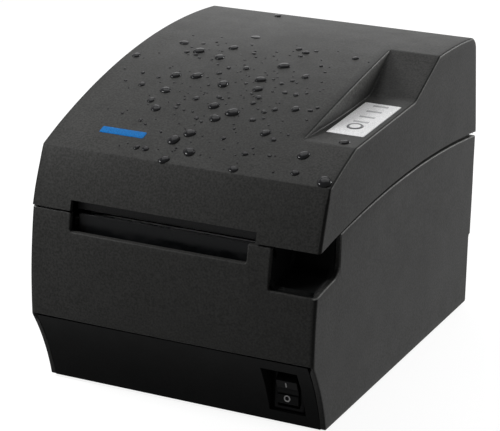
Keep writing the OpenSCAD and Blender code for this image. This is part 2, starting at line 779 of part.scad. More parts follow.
// Blade with its shallow V edge, and a rack down to the pinion
module blade_outline() {
  left = paper_x - cut_half;
  right = paper_x + cut_half;
  polygon([[left, cut_bottom], [right, cut_bottom], [right, cut_top], [paper_x, cut_top - cut_v],
    [left, cut_top]]);
  root = rack_x - 1.2 * cut_m;
  tip = rack_x + 0.9 * cut_m;
  z0 = cut_pinion_z - (rack_below + 0.5) * rack_pitch;
  // Teeth point to +x, a gap level with the pinion's middle
  teeth = [for (k = [0 : rack_below + rack_above]) each let (c = z0 + k * rack_pitch)
    [[root, c - 0.95], [tip, c - 0.3], [tip, c + 0.3], [root, c + 0.95]]];
  polygon(concat([[rack_x - rack_w, z0 - rack_pitch / 2], [root, z0 - rack_pitch / 2]], teeth,
    [[root, cut_bottom + eps], [rack_x - rack_w, cut_bottom + eps]]));
}
module moving_blade() color(steel) at_case() along_y(blade_front, blade_back) blade_outline();
module cutter_pinion() color(white_plastic) at_case() {
  along_y(cut_y - cut_pinion_half, cut_y + cut_pinion_half) translate([cut_pinion_x, cut_pinion_z])
    gear_outline(cut_m, cut_teeth);
  rod_y(cut_pinion_x, cut_y + cut_pinion_half - eps, cut_y + 9, cut_pinion_z, cut_shaft_r);
}
// Plate behind the blade with a guide channel at each end of it
module cutter_plate() color(steel) at_case() {
  back = blade_back + seat;
  face = blade_front - seat;
  edge = cut_half + 2.5;
  top = cut_top - 1.7;
  difference() {
    block(about(paper_x, edge), [back, back + cut_plate_t], [40, top]);
    rod_y(cut_pinion_x, back - 1, back + 5, cut_pinion_z, cut_pitch_r + cut_m + 0.6);
  }
  for (s = [-1, 1]) {
    block(span(paper_x, s, cut_half + 0.2, edge), [face - 0.8, back + eps], [44, top]);
    block(span(paper_x, s, cut_half - 1.2, edge), [face - 0.8, face], [44, top]);
  }
}
module cutter_motor() color([0.55, 0.55, 0.56]) at_case() difference() {
  y0 = blade_back + seat + cut_plate_t + screw_gap;
  union() {
    rod_y(cut_pinion_x, y0, y0 + cut_motor_l, cut_pinion_z, cut_motor_r);
    rod_y(cut_pinion_x, y0 + cut_motor_l - eps, y0 + cut_motor_l + 2, cut_pinion_z, 3);
  }
  rod_y(cut_pinion_x, y0 - 1, y0 + 8, cut_pinion_z, cut_shaft_r + run_gap);
}
// Guide under the paper between the blade and the slot
module exit_guide() color([0.03, 0.03, 0.035]) at_case() difference() {
  y1 = blade_front - 1;
  half = slot_w / 2 - 2 * fit;
  union() {
    along_x(paper_x - half, paper_x + half)
      polygon([[exit_y, exit_z], [y1, exit_z], [y1, path_at(y1) - 0.4], [exit_y, path_at(exit_y) - 0.4]]);
    block(about(paper_x, cut_half + 1.5), [exit_y + 3.5, y1], [exit_z, exit_z + 6]);
  }
  block(about(paper_x, half - 2), [exit_y + 2, exit_y + 3.5], [exit_z - 2, exit_z + 8]);
}

// Print head: its frame of reference has the nip at the origin and y along the paper
module head_frame() translate([0, nip_y, nip_z]) rotate([-path_rise, 0, 0]) children();
module head_heat_sink() color([0.62, 0.63, 0.65]) at_case() difference() {
  sink_top = -strip_t - head_gap;
  head_frame() {
    block(about(paper_x, sink_half), [-8, 14], [-sink_t, sink_top]);
    // Ears for the pivot pin
    for (s = [-1, 1]) block(span(paper_x, s, sink_half - 4, sink_half), [13, 21], [-sink_t - 2, sink_top]);
  }
  bore_x(head_pivot_y, head_pivot_z, head_pivot_r + run_gap);
}
module thermal_strip() color([0.15, 0.12, 0.1]) at_case() head_frame()
  block(about(paper_x, sink_half - 0.5), [-7, 9], [-strip_t - head_gap, -head_gap]);
module head_pivot_pin() color(steel) at_case()
  rod_x(paper_x - plate_out - 0.6, paper_x + plate_out + 0.6, head_pivot_y, head_pivot_z, head_pivot_r);
// Compression spring of round wire
module spring(x, y, z) {
  turns = 4;
  steps = 12;
  sides = 6;
  n = turns * steps;
  rise = spring_h - 2 * wire_r;
  ring = function(i) [for (k = [0 : sides - 1]) let (a = 360 * i / steps, b = 360 * k / sides)
    [x + (coil_r + wire_r * cos(b)) * cos(a), y + (coil_r + wire_r * cos(b)) * sin(a),
      z + wire_r + rise * i / n + wire_r * sin(b)]];
  polyhedron([for (i = [0 : n]) each ring(i)],
    concat([[for (k = [sides - 1 : -1 : 0]) k]],
      [for (i = [0 : n - 1], k = [0 : sides - 1]) let (a = i * sides + k, b = i * sides + (k + 1) % sides)
        [a, b, b + sides, a + sides]],
      [[for (k = [0 : sides - 1]) n * sides + k]]));
}
module head_springs() color(steel) at_case() for (x = spring_x) spring(x, spring_y, seat_z + seat);

module feed_motor() color([0.5, 0.5, 0.52]) at_case() difference() {
  union() {
    rod_x(motor_x1 - motor_l, motor_x1 - 1, pinion_y, pinion_z, motor_r);
    rod_x(motor_x1 - 1 - eps, motor_x1, pinion_y, pinion_z, motor_r - 1);
  }
  rod_x(motor_x1 - 10, motor_x1 + 1, pinion_y, pinion_z, motor_shaft_r + run_gap);
}
// Pin with a shoulder on each side of the idler
module idler_pin() color(steel) at_case() {
  end = gear_x + gear_w + 0.9;
  rod_x(paper_x + plate_in, end, idler_y, idler_z, idler_pin_r);
  rod_x(paper_x + plate_out + screw_gap, gear_x - 0.25, idler_y, idler_z, idler_pin_r + 1.4);
  rod_x(gear_x + gear_w + 0.2, end, idler_y, idler_z, idler_pin_r + 1.2);
}
// A feed gear with its bore
module feed_gear(y, z, turn, teeth, bore) difference() {
  along_x(gear_x, gear_x + gear_w) translate([y, z]) rotate(turn) gear_outline(feed_m, teeth);
  rod_x(gear_x - 1, gear_x + gear_w + 1, y, z, bore);
}
module platen_gear() color(white_plastic) at_case()
  feed_gear(platen_y, platen_z, idler_a, platen_teeth, platen_shaft_r + pin_gap);
module idler_gear() color(white_plastic) at_case()
  feed_gear(idler_y, idler_z, idler_turn, idler_teeth, idler_pin_r + run_gap);
module motor_pinion() color([0.8, 0.68, 0.4]) at_case() {
  along_x(gear_x, gear_x + gear_w) translate([pinion_y, pinion_z]) rotate(pinion_turn)
    gear_outline(feed_m, pinion_teeth);
  rod_x(motor_x1 - 9 + seat, gear_x + eps, pinion_y, pinion_z, motor_shaft_r);
}
module hinge_pins() color(steel) at_case()
  for (s = [-1, 1]) rod_x(s * hinge_x - lug_x1, s * hinge_x + lug_x1, hinge_y, hinge_z, hinge_r);

module power_switch_body() color(black) at_case() difference() {
  back = switch_y + 14;
  union() {
    block(about(switch_x, bezel_w / 2), [switch_y - bezel_t, switch_y], about(switch_z, bezel_h / 2));
    block(about(switch_x, switch_half[0]), [switch_y - eps, back], about(switch_z, switch_half[1]));
    // Terminal tabs
    for (i = [-1 : 1]) block(about(switch_x, 3), [back - eps, back + 7], about(switch_z + tab_z * i, 0.4));
  }
  block(about(switch_x, switch_room[0]), [switch_y - 5, switch_y + 9], about(switch_z, switch_room[1]));
  rod_x(switch_x - 6, switch_x + 6, switch_y + rocker_in, switch_z, rocker_pin_r + run_gap);
}
// Rocker outline about its pivot, both key faces meeting in a shallow valley
module rocker_outline() difference() {
  valley = 4.4;
  circle(rocker_r, $fn = turned);
  rotate(rocker_throw / 2) translate([-valley - past, -1]) square([past, past]);
  rotate(-rocker_throw / 2) translate([-valley - past, 1 - past]) square([past, past]);
  translate([2.5, -past / 2]) square(past);
}
module power_rocker() color(black) at_case() translate([0, switch_y + rocker_in, switch_z]) {
  along_x(switch_x - rocker_half, switch_x + rocker_half) rotate(rocker_throw / 2) rocker_outline();
  rod_x(switch_x - rocker_half - 0.7, switch_x + rocker_half + 0.7, 0, 0, rocker_pin_r);
}

// Flat cable from the print head down through the deck to the main board
module head_ribbon() color([0.75, 0.6, 0.35]) at_case() along_x(paper_x - ribbon_half, paper_x + ribbon_half)
  polygon([[54, 69], [58.7, 64], [58.7, 22], [72, 14.75], [board_y0 + 4, 14.75], [board_y0 + 4, 15.25],
    [72.2, 15.25], [59.2, 22.3], [59.2, 64.2], [54.3, 69.4]]);
// Switch beside the frame that a peg of the closed lid stands over
module cover_switch() color(black) at_case() {
  x1 = paper_x - plate_out - seat;
  top = bay_z - 2;
  block([x1 - 6.5, x1], about(switch_peg_y, 6.5), [top - 11, top]);
  rod_z(peg_x, switch_peg_y, top - eps, top + 1.6, 1.2);
}

// Side outline of the lid, drawn in by d on its faces
module lid_outline(d) difference() {
  intersection() {
    translate([crest_y, crown_cz]) circle(crown_r - d, $fn = fine);
    translate([lid_front_cy, lid_front_cz]) circle(lid_front_r - d, $fn = fine);
    lid_rear(d);
  }
  seam_disc(d > 0 ? -past : seam_gap / 2);
}
// Everything in front of the leaning rear face, its top corner rounded
module lid_rear(d) {
  r = lid_rear_r - d;
  back = body_d - d;
  last = 75;
  corner = [for (a = [0 : 7.5 : last]) [rear_arc_y + r * cos(a), rear_arc_z + r * sin(a)]];
  over = [rear_arc_y - 2 * lid_rear_r + r * cos(last), rear_arc_z + 2 * lid_rear_r * tan(12) + r * sin(last)];
  polygon(concat([[-past, -past], [back, -past], [back, rear_z]], corner, [over, [-past, 3 * body_h]]));
}
module lid_width(d) {
  low = body_w / 2 - d;
  top = low - lid_draft;
  polygon([[-low, 0], [low, 0], [low, seam_top], [top, crest_z], [top, body_h + past],
    [-top, body_h + past], [-top, crest_z], [-low, seam_top]]);
}
module lid_solid(d) intersection() {
  along_x(-body_w, body_w) lid_outline(d);
  along_y(-past, body_d + past) lid_width(d);
}
// Everything above the recess floor and its ramp, lowered by d
module recess_zone(d) {
  y0 = recess_y - past;
  y1 = recess_y + recess_l * cos(recess_tilt);
  z1 = recess_z + recess_l * sin(recess_tilt);
  top = z1 + past * tan(ramp_tilt);
  translate([0, -d])
    polygon([[y0, recess_z - past * tan(recess_tilt)], [y1, z1], [y1 + past, top], [y0, top]]);
}
module on_floor() translate([overlay_x, recess_y, recess_z]) rotate([recess_tilt, 0, 0]) children();
module on_crown(y) translate([0, y, crown_at(y)]) rotate([asin((crest_y - y) / crown_r), 0, 0]) children();
module window(y, z0, z1, grow)
  block(about(0, pipe_half + grow), about(y, pipe_l / 2 + grow), [z0, z1]);

module lid_shell() color(charcoal) at_case() difference() {
  union() {
    difference() {
      lid_solid(0);
      difference() {
        lid_solid(wall);
        along_x(recess_x - wall, body_w) recess_zone(wall + 0.2);
      }
    }
    // Bosses for the inner cover, up to the crown
    intersection() {
      lid_solid(wall / 2);
      for (x = lid_boss_x, y = lid_boss_y) rod_z(x, y, liner_z + seat, crest_z, boss_r);
    }
    // Posts for the panel board
    intersection() {
      lid_solid(wall / 2);
      on_floor() for (y = panel_post_y) rod_z(0, y, seat / 2 - panel_drop, -1, panel_post_r);
    }
  }
  along_x(recess_x, body_w) recess_zone(0);
  for (x = lid_boss_x, y = lid_boss_y) rod_z(x, y, liner_low - 5, liner_z + 9, screw_r + screw_gap);
  on_floor() {
    block(about(0, overlay_w / 2 + seat), about(overlay_y, overlay_l / 2 + seat), [-pocket_cut, 5]);
    rod_z(0, button_y, -10, 5, button_r + port_gap);
    for (y = pipe_y) window(y, -10, 5, 0.08);
    for (y = panel_post_y) rod_z(0, y, -20, -4, pin_screw_r + screw_gap);
  }
  // Lip over the paper slot
  block([slot_x0 - 0.6, slot_x1 + 2.6], [-5, lid_setback + 8], [slot_z, lid_front_z + slot_lip]);
  on_crown(badge_y) block(about(badge_x, badge_w / 2), about(0, badge_l / 2), [-badge_deep, 5]);
}
module lid_badge() color([0.05, 0.35, 0.75]) at_case() on_crown(badge_y)
  block(about(badge_x, badge_w / 2 - badge_gap), about(0, badge_l / 2 - badge_gap),
    [pin_gap - badge_deep, badge_proud]);

// Moulded inner cover: flat flanges, an arch over the roll, the hinge arms
module liner_outline() {
  r = cradle_r + 0.4 + liner_t;
  half = sqrt(pow(r, 2) - pow(liner_z - roll_z, 2));
  difference() {
    union() {
      translate([liner_y0, liner_low]) square([hinge_y + knuckle_back - liner_y0, liner_t]);
      intersection() {
        translate([roll_y, roll_z]) circle(r, $fn = smooth);
        translate([roll_y - half, liner_low]) square([2 * half, body_h]);
      }
    }
    translate([roll_y, roll_z]) circle(r - liner_t, $fn = smooth);
  }
}
module lid_inner_cover() color(black) at_case() difference() {
  union() {
    along_x(-liner_half, liner_half) liner_outline();
    // Block that carries the fixed blade
    block(about(paper_x, deck_half), [liner_y0, blade_front - 0.95], [liner_low - 8.5, liner_low + eps]);
    for (s = [-1, 1]) {
      rod_x(s * hinge_x - arm_half, s * hinge_x + arm_half, hinge_y, hinge_z, knuckle_r);
      block(about(s * hinge_x, arm_half), [hinge_y - knuckle_r, hinge_y + knuckle_back],
        [hinge_z, liner_z - eps]);
    }
    // Peg over the cover switch
    rod_z(peg_x, switch_peg_y, bay_z + 0.4, liner_low + eps, 1.8);
  }
  for (s = [-1, 1])
    rod_x(s * hinge_x - lug_x1, s * hinge_x + lug_x1, hinge_y, hinge_z, hinge_r + run_gap);
  for (x = lid_boss_x, y = lid_boss_y) rod_z(x, y, liner_low - 5, liner_z + 9, screw_r + screw_gap);
  for (x = carrier_x) rod_z(x, carrier_y, liner_low - 5, liner_z + 9, screw_r + screw_gap);
}
// Bracket under the inner cover with an ear round each bearing of the platen
module platen_carrier() color(steel) at_case() difference() {
  union() {
    block(about(paper_x, ear_out), [platen_y - 10, carrier_y + 4], [carrier_top - carrier_t, carrier_top]);
    for (s = [-1, 1]) {
      x = span(paper_x, s, ear_in, ear_out);
      along_x(x[0], x[1]) translate([platen_y, platen_z])
        polygon([[-6.5, carrier_top - platen_z], [-5.5, -6], [-2, -7.2], [4, -7.2], [6, -6],
          [7.5, carrier_top - platen_z]]);
    }
  }
  bore_x(platen_y, platen_z, bearing_r + 0.03);
  for (x = carrier_x) rod_z(x, carrier_y, carrier_top - 15, liner_z + 9, screw_r + screw_gap);
}
module platen_bearings() color([0.75, 0.62, 0.3]) at_case() for (s = [-1, 1]) difference() {
  x = span(paper_x, s, ear_in, plate_out + 2 * fit);
  rod_x(x[0], x[1], platen_y, platen_z, bearing_r);
  bore_x(platen_y, platen_z, platen_shaft_r + run_gap);
}
module fixed_blade() color(steel) at_case()
  block(about(paper_x, deck_half), [blade_front - 0.9, blade_front - seat], [path_at(16) + 0.8, carrier_top]);
module lid_screws() color(steel) at_case() {
  for (x = lid_boss_x, y = lid_boss_y) screw_up(x, y, liner_low - seat - head_h, 11);
  for (x = carrier_x) screw_up(x, carrier_y, carrier_top - carrier_t - 1.5 * seat - head_h, 6);
}

module panel_overlay() color([0.8, 0.81, 0.82]) at_case() on_floor() difference() {
  block(about(0, overlay_w / 2), about(overlay_y, overlay_l / 2), [overlay_z, overlay_top]);
  rod_z(0, button_y, -5, 5, button_r + fit);
  for (y = pipe_y) window(y, -5, 5, 0.05);
}
module light_pipes() color([0.6, 0.9, 0.6, 0.7]) at_case() on_floor()
  for (y = pipe_y) {
    window(y, 1.6 - panel_drop, overlay_top, 0);
    window(y, 1.5 - panel_drop, -wall - 0.5, 0.6);
  }
module panel_board() color(board_green) at_case() on_floor() {
  difference() {
    block(about(0, overlay_w / 2), [panel_post_y[0] - 4, panel_post_y[1] + 4],
      [-panel_drop - panel_board_t, -panel_drop]);
    for (y = panel_post_y) rod_z(0, y, -20, 5, pin_screw_r + seat);
  }
  // Switch under the button and light sources
  difference() {
    block(about(0, 3), about(button_y, 3), [-panel_drop - eps, tact_h - panel_drop]);
    rod_z(0, button_y, tact_h - 2 - panel_drop, 0, 1.3);
  }
  for (y = pipe_y) block(about(0, 1), about(y, 0.5), [-panel_drop - eps, 1.4 - panel_drop]);
}
// Button cap, its shoulder over the switch and its plunger inside it
module feed_button() color([0.35, 0.36, 0.38]) at_case() on_floor() {
  rod_z(0, button_y, -2.2, overlay_top + button_rise, button_r);
  rod_z(0, button_y, tact_h - panel_drop + button_travel + seat, -2.1, 1.7);
  rod_z(0, button_y, tact_h - panel_drop - 1, -2.1, 1.1);
}
module panel_screws() color(steel) at_case() on_floor() {
  low = -panel_drop - panel_board_t;
  for (y = panel_post_y) {
    rod_z(0, y, low - head_h, low - screw_gap, 2);
    rod_z(0, y, low - seat, -4.5, pin_screw_r);
  }
}
module platen_shaft() color(steel) at_case()
  rod_x(paper_x - plate_out - 1, gear_x + gear_w + 0.3, platen_y, platen_z, platen_shaft_r);
module platen_rubber() color([0.08, 0.08, 0.08]) at_case() difference() {
  rod_x(paper_x - paper_w / 2 - 0.2, paper_x + paper_w / 2 + 0.2, platen_y, platen_z, platen_r);
  bore_x(platen_y, platen_z, platen_shaft_r + pin_gap);
}

main_case();
base_tray();
rubber_feet();
bottom_screws();
rear_panel();
dc_inlet();
usb_port();
serial_port();
drawer_port();
main_board();
board_parts();
board_screws();
roll_chassis();
chassis_screws();
paper_guide_bar();
mechanism_frame();
cutter_plate();
cutter_motor();
exit_guide();
head_pivot_pin();
head_springs();
feed_motor();
idler_pin();
hinge_pins();
power_switch_body();
head_ribbon();
cover_switch();
lid_shell();
lid_badge();
lid_inner_cover();
platen_carrier();
fixed_blade();
lid_screws();
panel_overlay();
light_pipes();
panel_board();
panel_screws();
platen_bearings();
platen_shaft();
platen_rubber();
platen_gear();
idler_gear();
motor_pinion();
power_rocker();
feed_button();
head_heat_sink();
thermal_strip();
moving_blade();
cutter_pinion();
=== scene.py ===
"""Desktop receipt printer: the finished surfaces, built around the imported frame."""
import math

import bmesh
import bpy
import mathutils
import numpy as np
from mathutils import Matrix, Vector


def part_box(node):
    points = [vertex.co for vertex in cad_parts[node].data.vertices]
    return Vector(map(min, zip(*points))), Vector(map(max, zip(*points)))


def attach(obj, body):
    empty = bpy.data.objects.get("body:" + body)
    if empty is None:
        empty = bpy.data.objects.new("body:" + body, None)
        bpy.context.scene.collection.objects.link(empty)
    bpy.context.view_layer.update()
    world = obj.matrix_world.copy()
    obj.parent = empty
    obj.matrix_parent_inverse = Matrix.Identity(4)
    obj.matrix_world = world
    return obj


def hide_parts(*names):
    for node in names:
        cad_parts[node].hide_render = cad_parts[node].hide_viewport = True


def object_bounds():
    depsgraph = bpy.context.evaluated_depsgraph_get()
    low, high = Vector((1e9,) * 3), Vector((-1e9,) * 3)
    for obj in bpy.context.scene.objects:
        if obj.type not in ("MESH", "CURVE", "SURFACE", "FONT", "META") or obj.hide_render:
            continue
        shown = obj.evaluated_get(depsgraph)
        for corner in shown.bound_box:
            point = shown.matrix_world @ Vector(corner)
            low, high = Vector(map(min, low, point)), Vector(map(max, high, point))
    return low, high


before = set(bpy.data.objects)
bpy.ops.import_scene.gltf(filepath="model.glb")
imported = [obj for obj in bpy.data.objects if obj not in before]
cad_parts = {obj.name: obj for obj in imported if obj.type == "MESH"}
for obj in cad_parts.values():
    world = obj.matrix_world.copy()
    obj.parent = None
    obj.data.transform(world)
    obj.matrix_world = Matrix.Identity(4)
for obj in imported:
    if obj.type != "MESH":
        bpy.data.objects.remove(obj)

# ---------------------------------------- case housing
# The case is one moulded charcoal wall round the plan. Its top edge follows the parting line and
# dips for paper slot, finger notch and hinge arms; its foot rises over toe-kick and connector bay.
# Outlines are in millimetres: x to the right, y back from the front, z up from the case's foot.
MM = 0.001
MERGE_REACH, PLANE_ANGLE = 0.002 * MM, math.radians(0.4)
cad_low, cad_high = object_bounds()
CASE_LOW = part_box("main_case")[0]
BODY_W, BODY_D, WALL = 145.0, 193.0, 2.4
SEAM_Y, SEAM_TOP, SEAM_R = 106.7, 95.7, 640.0
SEAM_HALF_FRONT, SEAM_HALF_REAR = 0.5, 1.0
CASE_DRAFT = 1.1
BOW = 0.6
FRONT_R, FRONT_Z = 240.0, 38.0
CORNER_R = 1.5
RIM_R, FOOT_RIM_R = 0.7, 0.6
OPENING_R, FOOT_CORNER_R, BAY_R = 0.9, 1.5, 1.0
KICK_H, KICK_TOP, KICK_DEPTH, KICK_R = 36.5, 0.6, 16.0, 111.0
BAY_Y = 190.0
SLOT_X, SLOT_Z = (-51.9, 37.6), 78.4
NOTCH_X, NOTCH_BACK, NOTCH_FLOOR, NOTCH_R = 48.9, 27.2, 68.4, 7.0
NOTCH_FALL, NOTCH_RISE, NOTCH_STEP = 1.2, 2.1, 0.1
HINGE_X, HINGE_HALF, HINGE_FLOOR = 45.0, 4.2, 72.2
# The way round the plan, measured from the middle of the front to each corner's ends
FRONT_HALF = BODY_W / 2 - CORNER_R
RUN_CORNER = FRONT_HALF + CORNER_R * math.pi / 2
RUN_SIDE = RUN_CORNER + BODY_D - 2 * CORNER_R
RUN_REAR = RUN_SIDE + CORNER_R * math.pi / 2
RUN_END = RUN_REAR + FRONT_HALF
# The sides are laid out in three stretches, parted at these depths
STRETCHES = 42.0, 170.0
# Rings up the outer face and down the inner one, and the depths of those on the rim and the foot
OUTER_RINGS, INNER_RINGS, RIM_DEPTHS, FOOT_DEPTHS = 22, 10, (1.6, WALL), (WALL, 1.5)
# How many points the edges have along the front, each stretch of a side, the rear and the notch
FRONT_COUNT, KICK_COUNT, SIDE_COUNT, BAY_COUNT, REAR_COUNT, NOTCH_COUNT = 240, 110, 60, 50, 90, 60


def to_metres(points):
    """Case millimetres to metres in the part's frame: scaled, then shifted by the case's corner."""
    return np.asarray(points, float) * MM + np.array([0.0, cad_low.y, CASE_LOW.z])


def add_object(name, data):
    """A new object in the scene, at the origin."""
    made = bpy.data.objects.new(name, data)
    bpy.context.scene.collection.objects.link(made)
    return made


def add_mesh(name, points, faces):
    """A mesh object at the origin from points in case millimetres and lists of vertex numbers."""
    mesh = bpy.data.meshes.new(name)
    mesh.from_pydata(to_metres(points).tolist(), [], [list(map(int, f)) for f in faces])
    mesh.update()
    return add_object(name, mesh)


def paint_edge_light(piece, values):
    """Stores one number a point for painted edge light: 1 where an edge gets a painted highlight, -1
    where it gets painted shade.
    """
    marks = piece.data.attributes.new("edge", "FLOAT", "POINT")
    marks.data.foreach_set("value", np.asarray(values, np.float32).ravel())


def grid_faces(rows, columns, close_rows=False, close_columns=False):
    """Quads between neighbouring points of a rows x columns grid, wrapped round where it closes."""
    number = np.arange(rows * columns).reshape(rows, columns)
    if close_rows:
        number = np.vstack([number, number[:1]])
    if close_columns:
        number = np.hstack([number, number[:, :1]])
    corners = [number[:-1, :-1], number[:-1, 1:], number[1:, 1:], number[1:, :-1]]
    return np.stack(corners, -1).reshape(-1, 4)


def merge_points(piece, flat=False):
    """Joins points that meet and drops faces with no area; `flat` also joins each plane's faces."""
    work = bmesh.new()
    work.from_mesh(piece.data)
    bmesh.ops.remove_doubles(work, verts=work.verts, dist=MERGE_REACH)
    bmesh.ops.dissolve_degenerate(work, edges=work.edges, dist=MERGE_REACH)
    if flat:
        bmesh.ops.dissolve_limit(
            work, angle_limit=PLANE_ANGLE, verts=work.verts, edges=work.edges)
    work.to_mesh(piece.data)
    work.free()


def smooth_by_angle(piece, degrees=32):
    """Shades a piece smooth, with hard edges where its faces turn by more than the angle."""
    mesh = piece.data
    mesh.polygons.foreach_set("use_smooth", np.ones(len(mesh.polygons), bool))
    mesh.set_sharp_from_angle(angle=math.radians(degrees))
    mesh.update()


def settle(piece, degrees=32, flat=False):
    """Merges the points of a new piece, then shades it."""
    merge_points(piece, flat)
    smooth_by_angle(piece, degrees)
    return piece


def seam(y):
    """Height of the parting line: the top of a long circle."""
    return SEAM_TOP - SEAM_R + np.sqrt(SEAM_R ** 2 - (y - SEAM_Y) ** 2)


def seam_half(y):
    """Half of the gap at the parting line, growing evenly from front to rear."""
    return SEAM_HALF_FRONT + (SEAM_HALF_REAR - SEAM_HALF_FRONT) * y / BODY_D


def case_edge(y):
    """Height of the case's top edge: half a gap under the parting line."""
    return seam(y) - seam_half(y)


def half_width(z):
    """Half width of the case, drawn in evenly from the parting line down."""
    return BODY_W / 2 - CASE_DRAFT * (1 - z / SEAM_TOP)


def front_y(z):
    """Set-back of the front face: an arc above its foremost line, straight below."""
    return FRONT_R - np.sqrt(FRONT_R ** 2 - np.maximum(z - FRONT_Z, 0) ** 2)


def arc(centre, radius, start, end, count):
    """Points of a circle between two angles, in degrees from the first axis to the second."""
    a = np.radians(np.linspace(start, end, count))
    return np.stack([centre[0] + radius * np.cos(a), centre[1] + radius * np.sin(a)], 1)


def corner_arc(here, u, v, radius, steps, room=math.inf):
    """The arc that touches both ways u and v out of a corner, smaller where there is little room,
    and its reach: reach = r tan(turn / 2), centre at r / cos(turn / 2) between the ways."""
    turn = math.pi - math.acos(float(np.clip(u @ v, -1, 1)))
    reach = min(radius * math.tan(turn / 2), room)
    r = reach / math.tan(turn / 2)
    middle = here + (u + v) / np.linalg.norm(u + v) * r / math.cos(turn / 2)
    first, last = here + u * reach - middle, here + v * reach - middle
    t = np.linspace(0, 1, steps)[:, None]
    bend = (np.sin((1 - t) * turn) * first + np.sin(t * turn) * last) / math.sin(turn)
    return middle + bend, reach


def round_corners(path, radius, sharpest=20.0, steps=5):
    """Replaces each corner of an open path that turns more than `sharpest` degrees by an arc."""
    path = np.asarray(path, float)
    keep = [path[:1]]
    for before, here, after in zip(path[:-2], path[1:-1], path[2:]):
        back, ahead = np.linalg.norm(before - here), np.linalg.norm(after - here)
        u, v = (before - here) / max(back, 1e-9), (after - here) / max(ahead, 1e-9)
        if math.degrees(math.pi - math.acos(float(np.clip(u @ v, -1, 1)))) < sharpest:
            keep.append(here[None])
        else:
            keep.append(corner_arc(here, u, v, radius, steps, 0.45 * min(back, ahead))[0])
    return np.vstack(keep + [path[-1:]])


def resample(path, count):
    """The same path with evenly spaced points along its length."""
    path = np.asarray(path, float)
    run = np.concatenate([[0], np.cumsum(np.linalg.norm(np.diff(path, axis=0), axis=1))])
    at = np.linspace(0, run[-1], count)
    return np.stack([np.interp(at, run, path[:, k]) for k in range(path.shape[1])], 1)


def path_normals(path):
    """Unit normals to the left of a path, taken across each point's neighbours."""
    along = np.gradient(path, axis=0)
    along = along / np.maximum(np.linalg.norm(along, axis=1, keepdims=True), 1e-9)
    return np.stack([-along[:, 1], along[:, 0]], 1)


def wall_point(run, z, depth):
    """A point of the case wall: run is the way round the plan from the middle of the front
    (left is negative), z the height and depth the way in from the outer face."""
    side, t = np.sign(run), np.abs(run)
    inset = max(depth - CORNER_R, 0.0)
    r = max(CORNER_R - depth, 0.0)
    middle_x = half_width(z) - CORNER_R
    near_y, far_y = front_y(z) + BOW + CORNER_R + inset, BODY_D - CORNER_R - inset
    share = np.clip(t / FRONT_HALF, 0, 1)
    x = np.minimum(share * middle_x, middle_x - inset)
    y = front_y(z) + BOW * share ** 2 + depth
    turn = np.clip((t - FRONT_HALF) / CORNER_R, 0, math.pi / 2)
    x = np.where(t > FRONT_HALF, middle_x - inset + r * np.sin(turn), x)
    y = np.where(t > FRONT_HALF, near_y - r * np.cos(turn), y)
    along = (t - RUN_CORNER) / (RUN_SIDE - RUN_CORNER)
    along = front_y(z) + BOW + CORNER_R + along * (BODY_D - 2 * CORNER_R - front_y(z) - BOW)
    y = np.where(t > RUN_CORNER, np.clip(along, near_y, far_y), y)
    turn = np.clip((t - RUN_SIDE) / CORNER_R, 0, math.pi / 2)
    x = np.where(t > RUN_SIDE, middle_x - inset + r * np.cos(turn), x)
    y = np.where(t > RUN_SIDE, far_y + r * np.sin(turn), y)
    rear_x = np.minimum(middle_x * (1 - (t - RUN_REAR) / FRONT_HALF), middle_x - inset)
    x = np.where(t > RUN_REAR, rear_x, x)
    return np.stack([side * x, y, z + 0 * t], -1)


def run_at(y, z):
    """The way round the plan to a depth y on the right side, at height z."""
    near_y, far_y = front_y(z) + BOW + CORNER_R, BODY_D - CORNER_R
    in_corner = FRONT_HALF + CORNER_R * np.arccos(np.clip((near_y - y) / CORNER_R, 0, 1))
    on_side = RUN_CORNER + (y - near_y) / (far_y - near_y) * (RUN_SIDE - RUN_CORNER)
    in_rear = RUN_SIDE + CORNER_R * np.arcsin(np.clip((y - far_y) / CORNER_R, 0, 1))
    return np.where(y < near_y, in_corner, np.where(y > far_y, in_rear, on_side))


def run_on_front(x, z):
    """The way round the plan to a place x on the front."""
    return x / (half_width(z) - CORNER_R) * FRONT_HALF


def run_on_rear(x, z):
    """The way round the plan to a place x on the rear."""
    return RUN_REAR + FRONT_HALF * (1 - x / (half_width(z) - CORNER_R))


def rising(points):
    """(y, z) points on the right side as (run, z) points."""
    points = np.asarray(points, float)
    return np.stack([run_at(points[:, 0], points[:, 1]), points[:, 1]], 1)


def seam_run(first, last, count):
    """The top edge along the parting line, from one place round the plan to another."""
    t = np.linspace(first, last, count)
    z = np.full(count, SEAM_TOP)
    for _ in range(4):
        z = case_edge(wall_point(t, z, 0.0)[:, 1])
    return np.stack([t, z], 1)


def kick_y(z):
    """Depth of the hollow toe-kick at a height: an arc through its top and bottom edges."""
    chord = math.hypot(KICK_DEPTH - KICK_TOP, KICK_H)
    away = math.sqrt(KICK_R ** 2 - (chord / 2) ** 2)
    centre_y = (KICK_TOP + KICK_DEPTH) / 2 - away * KICK_H / chord
    centre_z = KICK_H / 2 - away * (KICK_DEPTH - KICK_TOP) / chord
    return centre_y + np.sqrt(KICK_R ** 2 - (z - centre_z) ** 2)


def notch_outline(count):
    """Side outline of the finger notch: a rising floor, a round corner, then the back wall."""
    floor_end = np.array([NOTCH_BACK - NOTCH_R - 1, NOTCH_FLOOR + NOTCH_RISE])
    start_y = float(front_y(NOTCH_FLOOR)) + BOW
    slope = (NOTCH_FALL + NOTCH_RISE) / (floor_end[0] + 5)
    start = np.array([start_y, NOTCH_FLOOR - NOTCH_FALL + (start_y + 5) * slope])
    middle = NOTCH_BACK - NOTCH_R, floor_end[1] + NOTCH_STEP + NOTCH_R
    bend = arc(middle, NOTCH_R, 270, 360, 14)
    top = np.array([NOTCH_BACK, case_edge(NOTCH_BACK)])
    return resample(np.vstack([start, floor_end, bend, top]), count)


